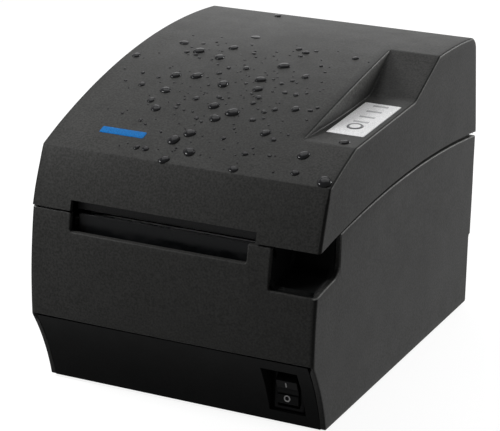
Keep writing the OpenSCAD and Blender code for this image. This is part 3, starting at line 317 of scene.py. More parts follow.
def match_feet(top, low, ways, feet):
    """The bottom edge shared out anew: the points of the top edge nearest to the ways stand over
    the feet, so that no line of the wall leans across an upright edge of an opening."""
    at = [int(np.argmin(np.linalg.norm(top - way, axis=1))) for way in ways]
    to = [int(np.argmin(np.linalg.norm(low - foot, axis=1))) for foot in feet]
    index = np.interp(np.arange(len(top)), [0, *at, len(top) - 1], [0, *to, len(low) - 1])
    return np.stack([np.interp(index, np.arange(len(low)), low[:, k]) for k in (0, 1)], 1)


def opened_edges(corners, ways, offsets, count):
    """Top and foot of a wall with openings, point for point: the top through the given corners,
    the foot level, and under each upright edge a foot point set off from it."""
    top = resample(round_corners(corners, OPENING_R), count)
    low = resample([(corners[0][0], KICK_H), (corners[-1][0], KICK_H)], count)
    feet = [(way[0] + offset, KICK_H) for way, offset in zip(ways, offsets)]
    return top, match_feet(top, low, ways, feet)


def case_edges():
    """Top and bottom edges of the wall, point for point, once round from the rear centre."""
    beside_opening, beside_notch = (-4.0, -0.8, 0.8, 4.0), (-4.5, -0.9)
    split_y, rear_y = STRETCHES
    notch = rising(notch_outline(NOTCH_COUNT))
    notch_run = run_on_front(NOTCH_X, notch[0, 1])
    slot = [(run_on_front(x, SLOT_Z), SLOT_Z) for x in SLOT_X]
    left_seam = seam_run(-FRONT_HALF, slot[0][0], 20)
    right_seam = seam_run(slot[1][0], notch_run, 12)
    notch_edge = [(notch_run, notch[0, 1]), (FRONT_HALF, notch[0, 1])]
    ways = [left_seam[-1], *slot, right_seam[0], right_seam[-1], notch_edge[0]]
    front = opened_edges(np.vstack([left_seam, slot, right_seam, notch_edge]), ways,
                         beside_opening + beside_notch, FRONT_COUNT)
    split, after = run_at(split_y, case_edge(split_y)), run_at(rear_y, case_edge(rear_y))
    right_top = np.vstack([notch, seam_run(notch[-1, 0], split, 14)[1:]])
    right_top = resample(round_corners(right_top, OPENING_R), KICK_COUNT)
    # Bottom edge of the side: down the hollow toe-kick, then back along the foot
    kick_z = np.linspace(KICK_H, 0, 40)
    curve = rising(np.stack([kick_y(kick_z), kick_z], 1))
    curve[0] = (FRONT_HALF, KICK_H)
    low = np.vstack([curve, rising([[split_y, 0.0]])])
    low = resample(round_corners(low, FOOT_CORNER_R), KICK_COUNT)
    notch_back = [(NOTCH_BACK, NOTCH_FLOOR + NOTCH_R + 2), (NOTCH_BACK, case_edge(NOTCH_BACK))]
    right_low = match_feet(right_top, low, rising(notch_back), rising([(29.0, 0.0), (34.0, 0.0)]))
    side_low = rising(resample([[split_y, 0.0], [rear_y, 0.0]], SIDE_COUNT))
    step = rising([[rear_y, 0.0], [BAY_Y, 0.0], [BAY_Y, KICK_H]])
    corner_low = np.vstack([step, [(RUN_REAR, KICK_H)]])
    corner_low = resample(round_corners(corner_low, BAY_R), BAY_COUNT)
    rear_z = float(case_edge(BODY_D))
    outer, inner = HINGE_X + HINGE_HALF, HINGE_X - HINGE_HALF
    hinge = [(run_on_rear(x, z), z) for x, z in (
        (outer, rear_z), (outer, HINGE_FLOOR), (inner, HINGE_FLOOR), (inner, rear_z))]
    rear = opened_edges([(RUN_REAR, rear_z), *hinge, (RUN_END, rear_z)], hinge, beside_opening,
                        REAR_COUNT)
    shared = [(seam_run(split, after, SIDE_COUNT), side_low),
              (seam_run(after, RUN_REAR, BAY_COUNT), corner_low), rear]
    left = [(seam_run(FRONT_HALF, split, KICK_COUNT), low)] + shared
    mirror = np.array([-1.0, 1.0])
    spans = [(mirror * t[::-1], mirror * b[::-1]) for t, b in left[::-1]]
    spans += [front, (right_top, right_low)] + shared
    return np.vstack([t[:-1] for t, _ in spans]), np.vstack([b[:-1] for _, b in spans])


def build_case():
    """The wall as rings: outer face from foot to rim, rounded rim, inner face back down, foot."""
    top, low = case_edges()
    top_n, low_n = path_normals(top), path_normals(low)
    top_in, low_in = top - top_n * RIM_R, low + low_n * FOOT_RIM_R
    quarter = np.radians((22, 45, 68, 90))
    up, down = np.linspace(0, 1, OUTER_RINGS), np.linspace(1, 0, INNER_RINGS)[1:-1]

    def face(foot, head, shares, depth):
        """Rings of a face at shares of its height, so deep in the wall."""
        return [wall_point(*(foot + (head - foot) * share).T, depth) for share in shares]

    def rim(edge, outward, radius, angles):
        """Rings of a rounded rim: on the outer face at 0 degrees, on the edge at 90."""
        return [wall_point(*(edge - outward * radius * (1 - math.sin(a))).T,
                           radius * (1 - math.cos(a))) for a in angles]

    rings = face(low_in, top_in, up, 0.0) + rim(top, top_n, RIM_R, quarter)
    rings += [wall_point(*top.T, depth) for depth in RIM_DEPTHS] + face(low, top, down, WALL)
    rings += [wall_point(*low.T, depth) for depth in FOOT_DEPTHS]
    rings += rim(low, -low_n, FOOT_RIM_R, quarter[::-1])
    points = np.stack(rings, 0)
    # The rim of the sides gets a painted highlight; the front corners and the kick's ends get painted
    # shade
    marks = np.zeros(points.shape[:2])
    x, y, z = np.abs(points[..., 0]), points[..., 1], points[..., 2]
    wear_and_highlight = slice(OUTER_RINGS, OUTER_RINGS + 3)
    marks[wear_and_highlight] = x[wear_and_highlight] > BODY_W / 2 - 2
    out = (points[:OUTER_RINGS] - np.stack(face(low_in, top_in, up, 1.0), 0))[..., :2]
    at_corner = np.clip(5 * np.abs(out[..., 0] * out[..., 1]) - 0.5, 0, 1)
    # Painted shade down the rounded front corners
    marks[:OUTER_RINGS] = -at_corner * (y[:OUTER_RINGS] < 6)
    # Painted shade at the ends of the toe-kick
    at_kick = (x > BODY_W / 2 - 4) & (y < KICK_DEPTH + 2) & (z < KICK_H + 0.5)
    marks[-6:] = np.where(at_kick[-6:], -0.7, marks[-6:])
    marks[0] = np.where(at_kick[0], -0.5, marks[0])
    faces = grid_faces(*points.shape[:2], close_rows=True, close_columns=True)
    case = add_mesh("case_housing", points.reshape(-1, 3), faces)
    paint_edge_light(case, marks)
    return case


# Places of the two colours among a Mix node's inputs, and of the mixed one among its outputs
MIX_COLOURS, MIX_RESULT = (6, 7), 2


def feed(tree, made, values):
    """Feeds a node's inputs: a plain value is set on its socket, another node's output linked."""
    for label, value in values.items():
        if isinstance(value, bpy.types.NodeSocket):
            tree.links.new(value, made.inputs[label])
        else:
            made.inputs[label].default_value = value


def node(tree, kind, values=None, **settings):
    """A new shader node of that kind with its properties set and its inputs fed."""
    made = tree.nodes.new(kind)
    for key, value in settings.items():
        setattr(made, key, value)
    feed(tree, made, values or {})
    return made


def math_node(tree, operation, *values):
    """A Math node on sockets or numbers."""
    return node(tree, "ShaderNodeMath", dict(enumerate(values)), operation=operation).outputs[0]


def scaled(tree, vector, factor):
    """A colour or vector times a number."""
    values = {0: vector, "Scale": factor}
    return node(tree, "ShaderNodeVectorMath", values, operation="SCALE").outputs[0]


def spread(tree, *values):
    """Maps a value from one range (low, high) to another and holds it at the ends."""
    return node(tree, "ShaderNodeMapRange", dict(enumerate(values))).outputs[0]


def blend_colour(tree, factor, a, b):
    """A colour between a and b, by the factor."""
    values = {"Factor": factor, MIX_COLOURS[0]: a, MIX_COLOURS[1]: b}
    return node(tree, "ShaderNodeMix", values, data_type="RGBA").outputs[MIX_RESULT]


def object_place(tree):
    """Coordinates fixed to the object, in metres."""
    return node(tree, "ShaderNodeTexCoord").outputs["Object"]


def noise(tree, place, scale, detail=2.0):
    """Cloudy values from 0 to 1 on the given coordinates, at a scale in cycles per metre."""
    values = {"Vector": place, "Scale": scale, "Detail": detail}
    return node(tree, "ShaderNodeTexNoise", values).outputs["Fac"]


def bumped(tree, height, strength, rise):
    """The surface's normal, bent by a height whose full rise is in millimetres."""
    values = {"Height": height, "Strength": strength, "Distance": rise * MM}
    return node(tree, "ShaderNodeBump", values).outputs["Normal"]


def new_skin_group(name, inputs):
    """An empty node group with named inputs, and a colour, a roughness and a normal as outputs."""
    group = bpy.data.node_groups.new(name, "ShaderNodeTree")
    new_socket = group.interface.new_socket
    for label, value in inputs.items():
        kind = "Float" if isinstance(value, float) else {3: "Vector", 4: "Color"}[len(value)]
        new_socket(label, in_out="INPUT", socket_type="NodeSocket" + kind).default_value = value
    for label, kind in (("Color", "Color"), ("Roughness", "Float"), ("Normal", "Vector")):
        new_socket(label, in_out="OUTPUT", socket_type="NodeSocket" + kind)
    return group, node(group, "NodeGroupInput").outputs, node(group, "NodeGroupOutput")


def build_grain_group():
    """Spark-eroded grain: fine pebbles and noise as a height, with wide clouds of rubbed places."""
    group, given, result = new_skin_group("moulded_grain", {
        "Grain per metre": 1600.0, "Base": (0.03, 0.03, 0.03, 1), "Rub": (0.04, 0.04, 0.04, 1),
        "Roughness": 0.5, "Depth": 0.25})
    place = object_place(group)
    fine = noise(group, place, given["Grain per metre"], 3.0)
    values = {"Vector": place, "Scale": given["Grain per metre"]}
    pebble = node(group, "ShaderNodeTexVoronoi", values, feature="SMOOTH_F1").outputs["Distance"]
    clouds = math_node(group, "MULTIPLY", noise(group, place, 14.0), 0.6)
    mark = math_node(group, "MULTIPLY_ADD", noise(group, place, 90.0, 3.0), 0.6, clouds)
    wear_and_highlight = spread(group, mark, 0.45, 0.75, 0.0, 1.0)
    speck = spread(group, fine, 0.35, 0.65, 0.72, 1.28)
    sheen = spread(group, mark, 0.4, 0.8, 0.03, -0.03)
    height = math_node(group, "MULTIPLY_ADD", pebble, 0.6, fine)
    feed(group, result, {
        "Color": scaled(group, blend_colour(group, wear_and_highlight, given["Base"], given["Rub"]), speck),
        "Roughness": math_node(group, "ADD", given["Roughness"], sheen),
        "Normal": bumped(group, height, given["Depth"], 0.06)})
    return group


GRAIN = build_grain_group()


def new_material(name):
    """A node material, its tree and its one Principled shader."""
    material = bpy.data.materials.new(name)
    material.use_nodes = True
    return material, material.node_tree, material.node_tree.nodes["Principled BSDF"]


def wear(tree, shader, group, values):
    """Puts a skin group before the shader and links its colour, roughness and normal."""
    skin = node(tree, "ShaderNodeGroup", node_tree=group)
    feed(tree, skin, values)
    out = skin.outputs
    feed(tree, shader, {
        "Base Color": out["Color"], "Roughness": out["Roughness"], "Normal": out["Normal"]})
    return skin


def moulded(name, base, rub, roughness, depth=0.25, grain=1600.0, specular=0.3, edges=False):
    """Plastic with the moulded grain; base and rub are the colours in and on the grain."""
    material, tree, shader = new_material(name)
    skin = wear(tree, shader, GRAIN, {"Grain per metre": grain, "Base": (*base, 1),
                                      "Rub": (*rub, 1), "Roughness": roughness, "Depth": depth})
    shader.inputs["Specular IOR Level"].default_value = specular
    # With edges, the points' edge marks scale the base colour: down to a quarter as painted shade, up
    # to four and a half times as painted highlight
    if edges:
        mark = node(tree, "ShaderNodeAttribute", attribute_name="edge").outputs["Fac"]
        share = math_node(tree, "MULTIPLY", spread(tree, mark, -1.0, 0.0, 0.25, 1.0),
                          spread(tree, mark, 0.0, 1.0, 1.0, 4.5))
        feed(tree, shader, {"Base Color": scaled(tree, skin.outputs["Color"], share)})
    return material


# The charcoal carries painted highlight and painted shade along its pieces' marked edges
CHARCOAL = moulded("charcoal_plastic", (0.0285, 0.0285, 0.0275), (0.033, 0.033, 0.032),
                   0.42, 0.6, 1100.0, 0.05, edges=True)


def dress(piece, material, body, slot, *replaced):
    """Gives a finished piece its material and body, and hides the nodes that it stands for. The slot
    is not used.
    """
    piece.data.materials.clear()
    piece.data.materials.append(material)
    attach(piece, body)
    if replaced:
        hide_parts(*replaced)
    return piece


case_housing = settle(build_case())
dress(case_housing, CHARCOAL, "case", "charcoal", "main_case")

# ---------------------------------------- finger notch lining
# The notch at the right front corner is lined with its own floor, back and left wall, moulded
# with the case and set just behind the case's outer skin. It is the case's charcoal, but coloured
# near-black with a finer grain as painted shade, for the deep shade under the lid.
NOTCH_FILLET, LINING_BACK, LINING = 1.6, 2.45, 1.8
LINING_SKIN = 0.05
FLOOR_LINES, FILLET_LINES, WALL_LINES = 8, 7, 8


def build_notch_lining():
    """Lines along the notch's outline, one at each x: the floor, a filleted foot, the left wall."""
    path = notch_outline(NOTCH_COUNT)
    path[0, 0] += LINING_BACK
    inward = path_normals(path)
    path = path - LINING_SKIN * inward
    right = half_width(NOTCH_FLOOR) - LINING_BACK
    lines = [(x, path) for x in np.linspace(right, NOTCH_X + NOTCH_FILLET, FLOOR_LINES)]
    for a in np.radians(np.linspace(0, 90, FILLET_LINES))[1:]:
        raised = path + inward * NOTCH_FILLET * (1 - math.cos(a))
        lines.append((NOTCH_X + NOTCH_FILLET * (1 - math.sin(a)), raised))
    # Its front edge leans back with the case's face
    foot = lines[-1][1]
    lean = float(front_y(SLOT_Z + 8) - front_y(NOTCH_FLOOR))
    top_y = np.linspace(foot[0, 0] + lean, foot[-1, 0], NOTCH_COUNT)
    top = np.stack([top_y, case_edge(top_y)], 1)
    shares = np.linspace(0, 1, WALL_LINES)[1:]
    lines += [(NOTCH_X, foot + (top - foot) * share) for share in shares]
    points = [np.column_stack([np.full(NOTCH_COUNT, x), line]) for x, line in lines]
    return add_mesh("notch_lining", np.vstack(points), grid_faces(len(lines), NOTCH_COUNT))


def add_walls(piece, thickness):
    """Gives a sheet its wall thickness, inward, as a live modifier."""
    solid = piece.modifiers.new("wall", "SOLIDIFY")
    solid.thickness = thickness * MM
    solid.offset = -1.0
    solid.use_rim = True


# Near-black: on the toe-kick partly the tray's own colour and partly painted shade; on the notch
# lining painted shade only
KICK_BLACK_AND_SHADE = moulded("kick_plastic", (0.0045, 0.0048, 0.0048), (0.006, 0.0062, 0.0062),
                       0.5, 0.12, specular=0.02)

notch_lining = settle(build_notch_lining(), 40)
add_walls(notch_lining, LINING)
# Painted shade: the lining takes the near-black kick colour instead of the charcoal
dress(notch_lining, KICK_BLACK_AND_SHADE, "case", "charcoal")

# ---------------------------------------- case ribs and bosses
# Inside the case stand its moulded features: screw bosses with webs, the ledge over the
# connector panel and the jambs beside it, the hinge lugs, and a tongue that keeps light out of
# the parting gap.
SHARP_ANGLE = math.radians(35)
BOSS_X, BOSS_Y, BOSS_R, BOSS_TOP = 65.8, (44.0, 153.0), 3.6, 22.0
BOSS_HOLE, BOSS_HOLE_TOP, BOSS_EDGE = 1.5, 17.0, 0.6
TRAY_TOP = 2.55
INNER_HALF = BODY_W / 2 - CASE_DRAFT - WALL
WEB_START, WEB_END, WEB_HALF = BOSS_X + 3.3, INNER_HALF + 0.4, 1.0
LEDGE_Y, LEDGE_Z = (186.5, 190.65), (KICK_H + 0.5, KICK_H + 2.9)
JAMB_X, JAMB_Y = 67.6, (184.6, 187.35)
HINGE_Y, HINGE_Z, KNUCKLE_R = 187.2, 78.02, 4.4
LUG_X, LUG_BACK = (4.2, 7.6), 191.8
TONGUE_Y = 32.0, 190.2
# Section of the tongue on the right: x, and height above the parting line
TONGUE = [(68.8, -6), (70.2, -6), (70.2, -1.4), (69.85, -1), (69.85, 1.3), (69.5, 1.6), (68.8, 1.6)]


def prism(outline, low, high):
    """Points and faces of an outline carried between two heights: two copies joined by quads."""
    outline = np.asarray(outline, float)
    n = len(outline)
    points = np.vstack([np.column_stack([outline, np.full(n, h)]) for h in (low, high)])
    around = np.arange(n)
    ahead = (around + 1) % n
    sides = np.stack([around, ahead, ahead + n, around + n], 1)
    return points, [list(around[::-1]), list(around + n)] + sides.tolist()


def along_x(part):
    """The same part with its outline in y and z, carried along x."""
    return part[0][:, (2, 0, 1)], part[1]


def box_of(x, y, z):
    """A block between pairs of x, y and z."""
    return prism([(x[0], y[0]), (x[1], y[0]), (x[1], y[1]), (x[0], y[1])], *z)


def side_pair(side, near, far):
    """The pair of x that lie so far from the middle on one side (1 or -1), in rising order."""
    return sorted((side * near, side * far))


def turned(profile, x=0.0, y=0.0, count=40):
    """(radius, height) points turned round an upright axis: x + r cos a, y + r sin a."""
    a = np.linspace(0, 2 * math.pi, count, endpoint=False)
    r, z = np.asarray(profile, float)[:, :1], np.asarray(profile, float)[:, 1:]
    points = np.stack([x + r * np.cos(a), y + r * np.sin(a), z + 0 * a], -1).reshape(-1, 3)
    return points, grid_faces(len(profile), count, close_columns=True).tolist()


def joined(parts):
    """One set of points and faces from several."""
    starts = np.cumsum([0] + [len(points) for points, _ in parts])
    faces = [[k + start for k in face] for (_, own), start in zip(parts, starts) for face in own]
    return np.vstack([points for points, _ in parts]), faces


def lofted(sections):
    """Rings of equal count joined in order; both ends close to their middles."""
    rings = np.stack(sections, 0)
    first, last = [np.repeat(ring.mean(0)[None], len(ring), 0)[None] for ring in rings[[0, -1]]]
    rings = np.concatenate([first, rings, last], 0)
    return rings.reshape(-1, 3), grid_faces(*rings.shape[:2], close_columns=True).tolist()


def round_edges(piece, width, segments=2):
    """Rounds a piece's sharp edges with a live bevel."""
    bevel = piece.modifiers.new("edges", "BEVEL")
    bevel.width = width * MM
    bevel.segments = segments
    bevel.limit_method = "ANGLE"
    bevel.angle_limit = SHARP_ANGLE
    bevel.harden_normals = True


def build_ribs():
    """Bosses as turned rings with webs, ledge and lugs as prisms, tongues along the parting line."""
    boss = [(BOSS_HOLE, BOSS_HOLE_TOP), (BOSS_HOLE, TRAY_TOP), (BOSS_R, TRAY_TOP),
            (BOSS_R, BOSS_TOP - BOSS_EDGE), (BOSS_R - BOSS_EDGE, BOSS_TOP), (0, BOSS_TOP),
            (0, BOSS_HOLE_TOP), (BOSS_HOLE, BOSS_HOLE_TOP)]
    knuckle = arc((HINGE_Y, HINGE_Z), KNUCKLE_R, 90, 270, 20)
    lug = np.vstack([knuckle, [(LUG_BACK, HINGE_Z + rise) for rise in (-KNUCKLE_R, KNUCKLE_R)]])
    parts = [box_of((-INNER_HALF, INNER_HALF), LEDGE_Y, LEDGE_Z)]
    for side in (-1, 1):
        parts.append(box_of(side_pair(side, JAMB_X, WEB_END), JAMB_Y, (TRAY_TOP, LEDGE_Z[1])))
        for y in BOSS_Y:
            parts.append(turned(boss, side * BOSS_X, y))
            parts.append(box_of(side_pair(side, WEB_START, WEB_END), (y - WEB_HALF, y + WEB_HALF),
                                (TRAY_TOP, BOSS_TOP)))
        for hand in (-1, 1):
            near, far = side_pair(hand, *LUG_X)
            parts.append(along_x(prism(lug, side * HINGE_X + near, side * HINGE_X + far)))
        x, rise = np.array(TONGUE)[::side].T
        parts.append(lofted([np.stack([side * x, np.full(len(x), y), seam(y) + rise], 1)
                             for y in np.linspace(*TONGUE_Y[::-1], 40)]))
    return add_mesh("case_ribs", *joined(parts))


case_ribs = settle(build_ribs())
round_edges(case_ribs, 0.2)
dress(case_ribs, CHARCOAL, "case", "charcoal")

# ---------------------------------------- base tray and rubber feet
# The tray closes the case underneath and turns up at the front as the hollow toe-kick, in a
# near-black, satin plastic whose colour is darkened further as painted shade under the case's front.
# It is screwed up into the case and stands on four glued rubber feet.
FOOT_R, FOOT_LOW, FOOT_TOP = 7.0, -1.5, 0.75
FOOT_PLACES = [(x, y) for x in (-51.5, 51.5) for y in (32.0, 171.0)]


def softened(name, source, width, material, body, slot, segments=2):
    """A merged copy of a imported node, its planes made whole and its sharp edges rounded."""
    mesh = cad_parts[source].data
    points = np.empty(len(mesh.vertices) * 3, np.float32)
    mesh.vertices.foreach_get("co", points)
    copy = bpy.data.meshes.new(name)
    faces = [list(p.vertices) for p in mesh.polygons]
    copy.from_pydata(points.reshape(-1, 3).tolist(), [], faces)
    piece = settle(add_object(name, copy), flat=True)
    round_edges(piece, width, segments)
    return dress(piece, material, body, slot, source)


def build_feet():
    """Each foot is a turned pad: a dished sole, a soft lower edge, a drafted side."""
    sole = [(0, 0.35), (3.2, 0.3), (4.6, 0.02), (5.6, 0), (6.3, 0.12), (6.75, 0.5),
            (FOOT_R - 0.05, 0.9)]
    profile = [(r, FOOT_LOW + rise) for r, rise in sole]
    profile += [(FOOT_R, FOOT_TOP - 0.1), (FOOT_R - 0.1, FOOT_TOP), (0, FOOT_TOP)]
    return add_mesh("feet_pads", *joined([turned(profile, x, y, 56) for x, y in FOOT_PLACES]))


RUBBER = moulded("foot_rubber", (0.012, 0.012, 0.012), (0.022, 0.021, 0.02),
                 0.75, 0.3, 2400.0, 0.2)

softened("base_cover", "base_tray", 0.4, KICK_BLACK_AND_SHADE, "case", "kick_plastic")
dress(settle(build_feet()), RUBBER, "case", "rubber", "rubber_feet")

# ---------------------------------------- screws, pins and pressed steel
# Zinc-plated screws with hexagon sockets and ground pins hold the housing; the frame, guide bar
# and brackets are pressed from bright sheet whose rolling lines still show.


def vector_node(tree, operation, *values):
    """A Vector Math node on sockets or vectors."""
    values = dict(enumerate(values))
    return node(tree, "ShaderNodeVectorMath", values, operation=operation).outputs[0]


def build_rolled_group():
    """Rolling lines: noise stretched along one axis as colour, roughness and a faint height."""
    group, given, result = new_skin_group("rolled_lines", {
        "Tint": (0.6, 0.6, 0.6, 1), "Roughness": 0.35, "Stretch": (0.03, 1.0, 1.0),
        "Depth": 0.15})
    place = object_place(group)
    drawn = vector_node(group, "MULTIPLY", place, given["Stretch"])
    lines = noise(group, drawn, 2600.0, 3.0)
    stain = noise(group, place, 60.0, 3.0)
    shade = math_node(group, "MULTIPLY", spread(group, lines, 0.3, 0.7, 0.85, 1.08),
                      spread(group, stain, 0.35, 0.7, 1.0, 0.88))
    streak = spread(group, lines, 0.3, 0.7, -0.06, 0.08)
    feed(group, result, {
        "Color": scaled(group, given["Tint"], shade),
        "Roughness": math_node(group, "ADD", given["Roughness"], streak),
        "Normal": bumped(group, lines, given["Depth"], 0.02)})
    return group


ROLLED = build_rolled_group()
LENGTHWISE = (0.03, 1.0, 1.0)


def metal(name, tint, roughness, stretch=LENGTHWISE):
    """Metal with rolling or turning lines along the axis that is stretched."""
    material, tree, shader = new_material(name)
    wear(tree, shader, ROLLED, {"Tint": (*tint, 1), "Roughness": roughness, "Stretch": stretch,
                                "Depth": 0.15})
    shader.inputs["Metallic"].default_value = 1.0
    return material


STEEL = metal("bright_steel", (0.56, 0.57, 0.58), 0.32)


def finish_nodes(material, *names, edge=0.0):
    """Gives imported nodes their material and, where they have sharp edges, a live weld and bevel."""
    for name in names:
        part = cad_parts[name]
        part.material_slots[0].link = "OBJECT"
        part.material_slots[0].material = material
        if edge:
            weld = part.modifiers.new("weld", "WELD")
            weld.merge_threshold = MERGE_REACH
            planes = part.modifiers.new("planes", "DECIMATE")
            planes.decimate_type = "DISSOLVE"
            planes.angle_limit = PLANE_ANGLE
            round_edges(part, edge)


finish_nodes(STEEL, "bottom_screws", "board_screws", "chassis_screws", "lid_screws",
             "panel_screws", "head_pivot_pin", "idler_pin", "hinge_pins", "paper_guide_bar",
             "head_springs")
finish_nodes(STEEL, "mechanism_frame", "platen_carrier", edge=0.15)

# ---------------------------------------- connector panel
# A painted steel plate closes the bay at the back; the power inlet, the square data socket, the
# nine-way plug and the drawer socket are soldered to the board and stand through its openings.
PANEL_PAINT = moulded("panel_paint", (0.075, 0.076, 0.078), (0.09, 0.09, 0.092), 0.5, 0.15, 2400.0)
SOCKET_BLACK = moulded("socket_plastic", (0.012, 0.012, 0.013), (0.018, 0.018, 0.019), 0.35, 0.08)

finish_nodes(PANEL_PAINT, "rear_panel", edge=0.15)
finish_nodes(SOCKET_BLACK, "dc_inlet", "drawer_port", edge=0.2)
finish_nodes(STEEL, "usb_port", "serial_port", edge=0.15)

# ---------------------------------------- main board
# The glass-fibre board carries green lacquer over copper tracks; its parts are moulded black
# packages. A flat amber cable leads up to the print head.


def board_material():
    """Green lacquer: lighter, raised tracks from a thin grid of bricks, and a wandering gloss."""
    material, tree, shader = new_material("board_lacquer")
    place = object_place(tree)
    values = {"Vector": place, "Scale": 220.0, "Mortar Size": 0.035, "Brick Width": 1.3,
              "Row Height": 0.35}
    tracks = node(tree, "ShaderNodeTexBrick", values, offset=0.37, squash=0.6).outputs["Fac"]
    feed(tree, shader, {
        "Base Color": blend_colour(tree, tracks, (0.006, 0.06, 0.028, 1), (0.012, 0.11, 0.05, 1)),
        "Roughness": spread(tree, noise(tree, place, 120.0), 0.3, 0.7, 0.22, 0.34),
        "Normal": bumped(tree, tracks, 0.4, 0.04)})
    return material


def ribbon_material():
    """Amber film over copper strips that run along the cable: stripes in x."""
    material, tree, shader = new_material("ribbon_film")
    place = object_place(tree)
    values = {"Vector": place, "Scale": 160.0}
    strips = node(tree, "ShaderNodeTexWave", values, bands_direction="X").outputs["Fac"]
    tone = spread(tree, strips, 0.35, 0.65, 0.0, 1.0)
    feed(tree, shader, {
        "Base Color": blend_colour(tree, tone, (0.42, 0.20, 0.04, 1), (0.62, 0.33, 0.09, 1)),
        "Roughness": spread(tree, noise(tree, place, 300.0), 0.3, 0.7, 0.22, 0.38)})
    return material


CHIP_BLACK = moulded("chip_moulding", (0.018, 0.018, 0.02), (0.025, 0.025, 0.027),
                     0.55, 0.2, 4000.0)

finish_nodes(board_material(), "main_board", "panel_board")
finish_nodes(CHIP_BLACK, "board_parts", "cover_switch", edge=0.15)
finish_nodes(ribbon_material(), "head_ribbon")

# ---------------------------------------- roll bay and print mechanism
# A black tub holds the paper roll. In front of it a steel frame carries the cutter, the sprung
# print head and the feed motor, which drives the platen through nylon gears.
CROSSWISE = (1.0, 0.05, 0.05)
BLACK_PLASTIC = moulded("black_plastic", (0.010, 0.010, 0.0105), (0.014, 0.014, 0.0145),
                        0.42, 0.15, specular=0.12)
DARK_STEEL = metal("tool_steel", (0.36, 0.36, 0.37), 0.28)
MOTOR_STEEL = metal("motor_zinc", (0.44, 0.45, 0.46), 0.4, CROSSWISE)
ALUMINIUM = metal("cast_aluminium", (0.62, 0.62, 0.63), 0.42, (0.06, 1.0, 1.0))
BRASS = metal("turned_brass", (0.72, 0.55, 0.27), 0.3, CROSSWISE)
NYLON = moulded("gear_nylon", (0.72, 0.72, 0.69), (0.78, 0.78, 0.75), 0.42, 0.1, 2400.0)
CERAMIC = moulded("head_glaze", (0.03, 0.022, 0.018), (0.05, 0.035, 0.028), 0.12, 0.03)

finish_nodes(BLACK_PLASTIC, "roll_chassis", edge=0.3)
finish_nodes(MOTOR_STEEL, "cutter_motor", "feed_motor")
finish_nodes(STEEL, "cutter_plate", edge=0.15)
finish_nodes(DARK_STEEL, "moving_blade", "fixed_blade")
finish_nodes(NYLON, "platen_gear", "idler_gear", "cutter_pinion")
finish_nodes(BRASS, "motor_pinion", "platen_bearings")
finish_nodes(ALUMINIUM, "head_heat_sink", edge=0.2)
finish_nodes(CERAMIC, "thermal_strip")

# ---------------------------------------- exit guide
# A polished black bar under the paper, just behind the slot in the front: glossy, with the
# fine smears that paper dust leaves on it.


def gloss_material():
    """Black gloss whose roughness wanders in wide smears, with a faint dust haze in the colour."""
    material, tree, shader = new_material("guide_gloss")
    flat = vector_node(tree, "MULTIPLY", object_place(tree), (1.0, 1.0, 1.6))
    smear = noise(tree, flat, 110.0, 4.0)
    haze = spread(tree, smear, 0.45, 0.75, 0.0, 1.0)
    dark, dusty = (0.004, 0.0045, 0.005, 1), (0.010, 0.010, 0.0105, 1)
    feed(tree, shader, {
        "Base Color": blend_colour(tree, haze, dark, dusty), "Specular IOR Level": 0.1,
        "Roughness": spread(tree, smear, 0.35, 0.7, 0.2, 0.5)})
    return material


softened("exit_bar", "exit_guide", 0.35, gloss_material(), "case", "gloss_black")

# ---------------------------------------- power switch
# A snap-in rocker switch in a pocket of the toe-kick: a black bezel with rounded corners, a
# rocker with a valley across it, and the printed bar and ring of on and off.
SWITCH_X, SWITCH_Y, SWITCH_Z = 53.4, 17.7, 17.0
BEZEL_PROUD, BEZEL_HALF = 2.0, (7.5, 10.5)
SWITCH_BODY_HALF, WELL_HALF = (6.4, 9.7), (5.4, 8.7)
TAB_HALF, TAB_Y, TAB_RISES = (3.0, 0.4), (31.6, 38.6), (-6, 0, 6)
ROCKER_PIVOT_Y, ROCKER_FACE, ROCKER_TURN = 18.9, 4.4, math.radians(20)
MARK_X, RING_UP, BAR_UP, MARK_FILM = -0.4, -4.3, 4.6, 0.04


def rounded_rect(half, radius, count=8):
    """Outline of a rectangle with round corners, anticlockwise from the lower right."""
    x, y = half[0] - radius, half[1] - radius
    corners = zip(((x, -y), (x, y), (-x, y), (-x, -y)), (-90, 0, 90, 180))
    return np.vstack([arc(centre, radius, a, a + 90, count) for centre, a in corners])


def build_switch_body():
    """Rounded rectangles from the body's back to the bezel, over it and in to the well; tabs."""
    # Half sizes, corner radius and distance behind the front of each section
    steps = [(SWITCH_BODY_HALF, 0.8, 16.0), (SWITCH_BODY_HALF, 0.8, BEZEL_PROUD),
             (BEZEL_HALF, 1.2, BEZEL_PROUD), (BEZEL_HALF, 1.2, 0.5), ((7.35, 10.35), 1.1, 0.15),
             ((7.0, 10.0), 0.9, 0.0), ((5.9, 9.2), 0.7, 0.0), ((5.6, 8.9), 0.6, 0.15),
             (WELL_HALF, 0.5, 0.5), (WELL_HALF, 0.5, 9.0)]
    rings = []
    for half, radius, back in steps:
        x, up = rounded_rect(half, radius).T
        y = np.full(len(x), SWITCH_Y - BEZEL_PROUD + back)
        rings.append(np.stack([SWITCH_X + x, y, SWITCH_Z + up], 1))
    tabs = [box_of((SWITCH_X - TAB_HALF[0], SWITCH_X + TAB_HALF[0]), TAB_Y,
                   (SWITCH_Z + up - TAB_HALF[1], SWITCH_Z + up + TAB_HALF[1])) for up in TAB_RISES]
    return add_mesh("switch_housing", *joined([lofted(rings)] + tabs))


def on_key(part, turn):
    """A part drawn on a key face, as x, up and out: the face lies at its distance in front of
    the pivot and is turned about it."""
    x, up, out = part[0].T
    out = ROCKER_FACE + out
    y = ROCKER_PIVOT_Y - out * math.cos(turn) - up * math.sin(turn)
    z = SWITCH_Z - out * math.sin(turn) + up * math.cos(turn)
    return np.stack([SWITCH_X + x, y, z], 1), part[1]


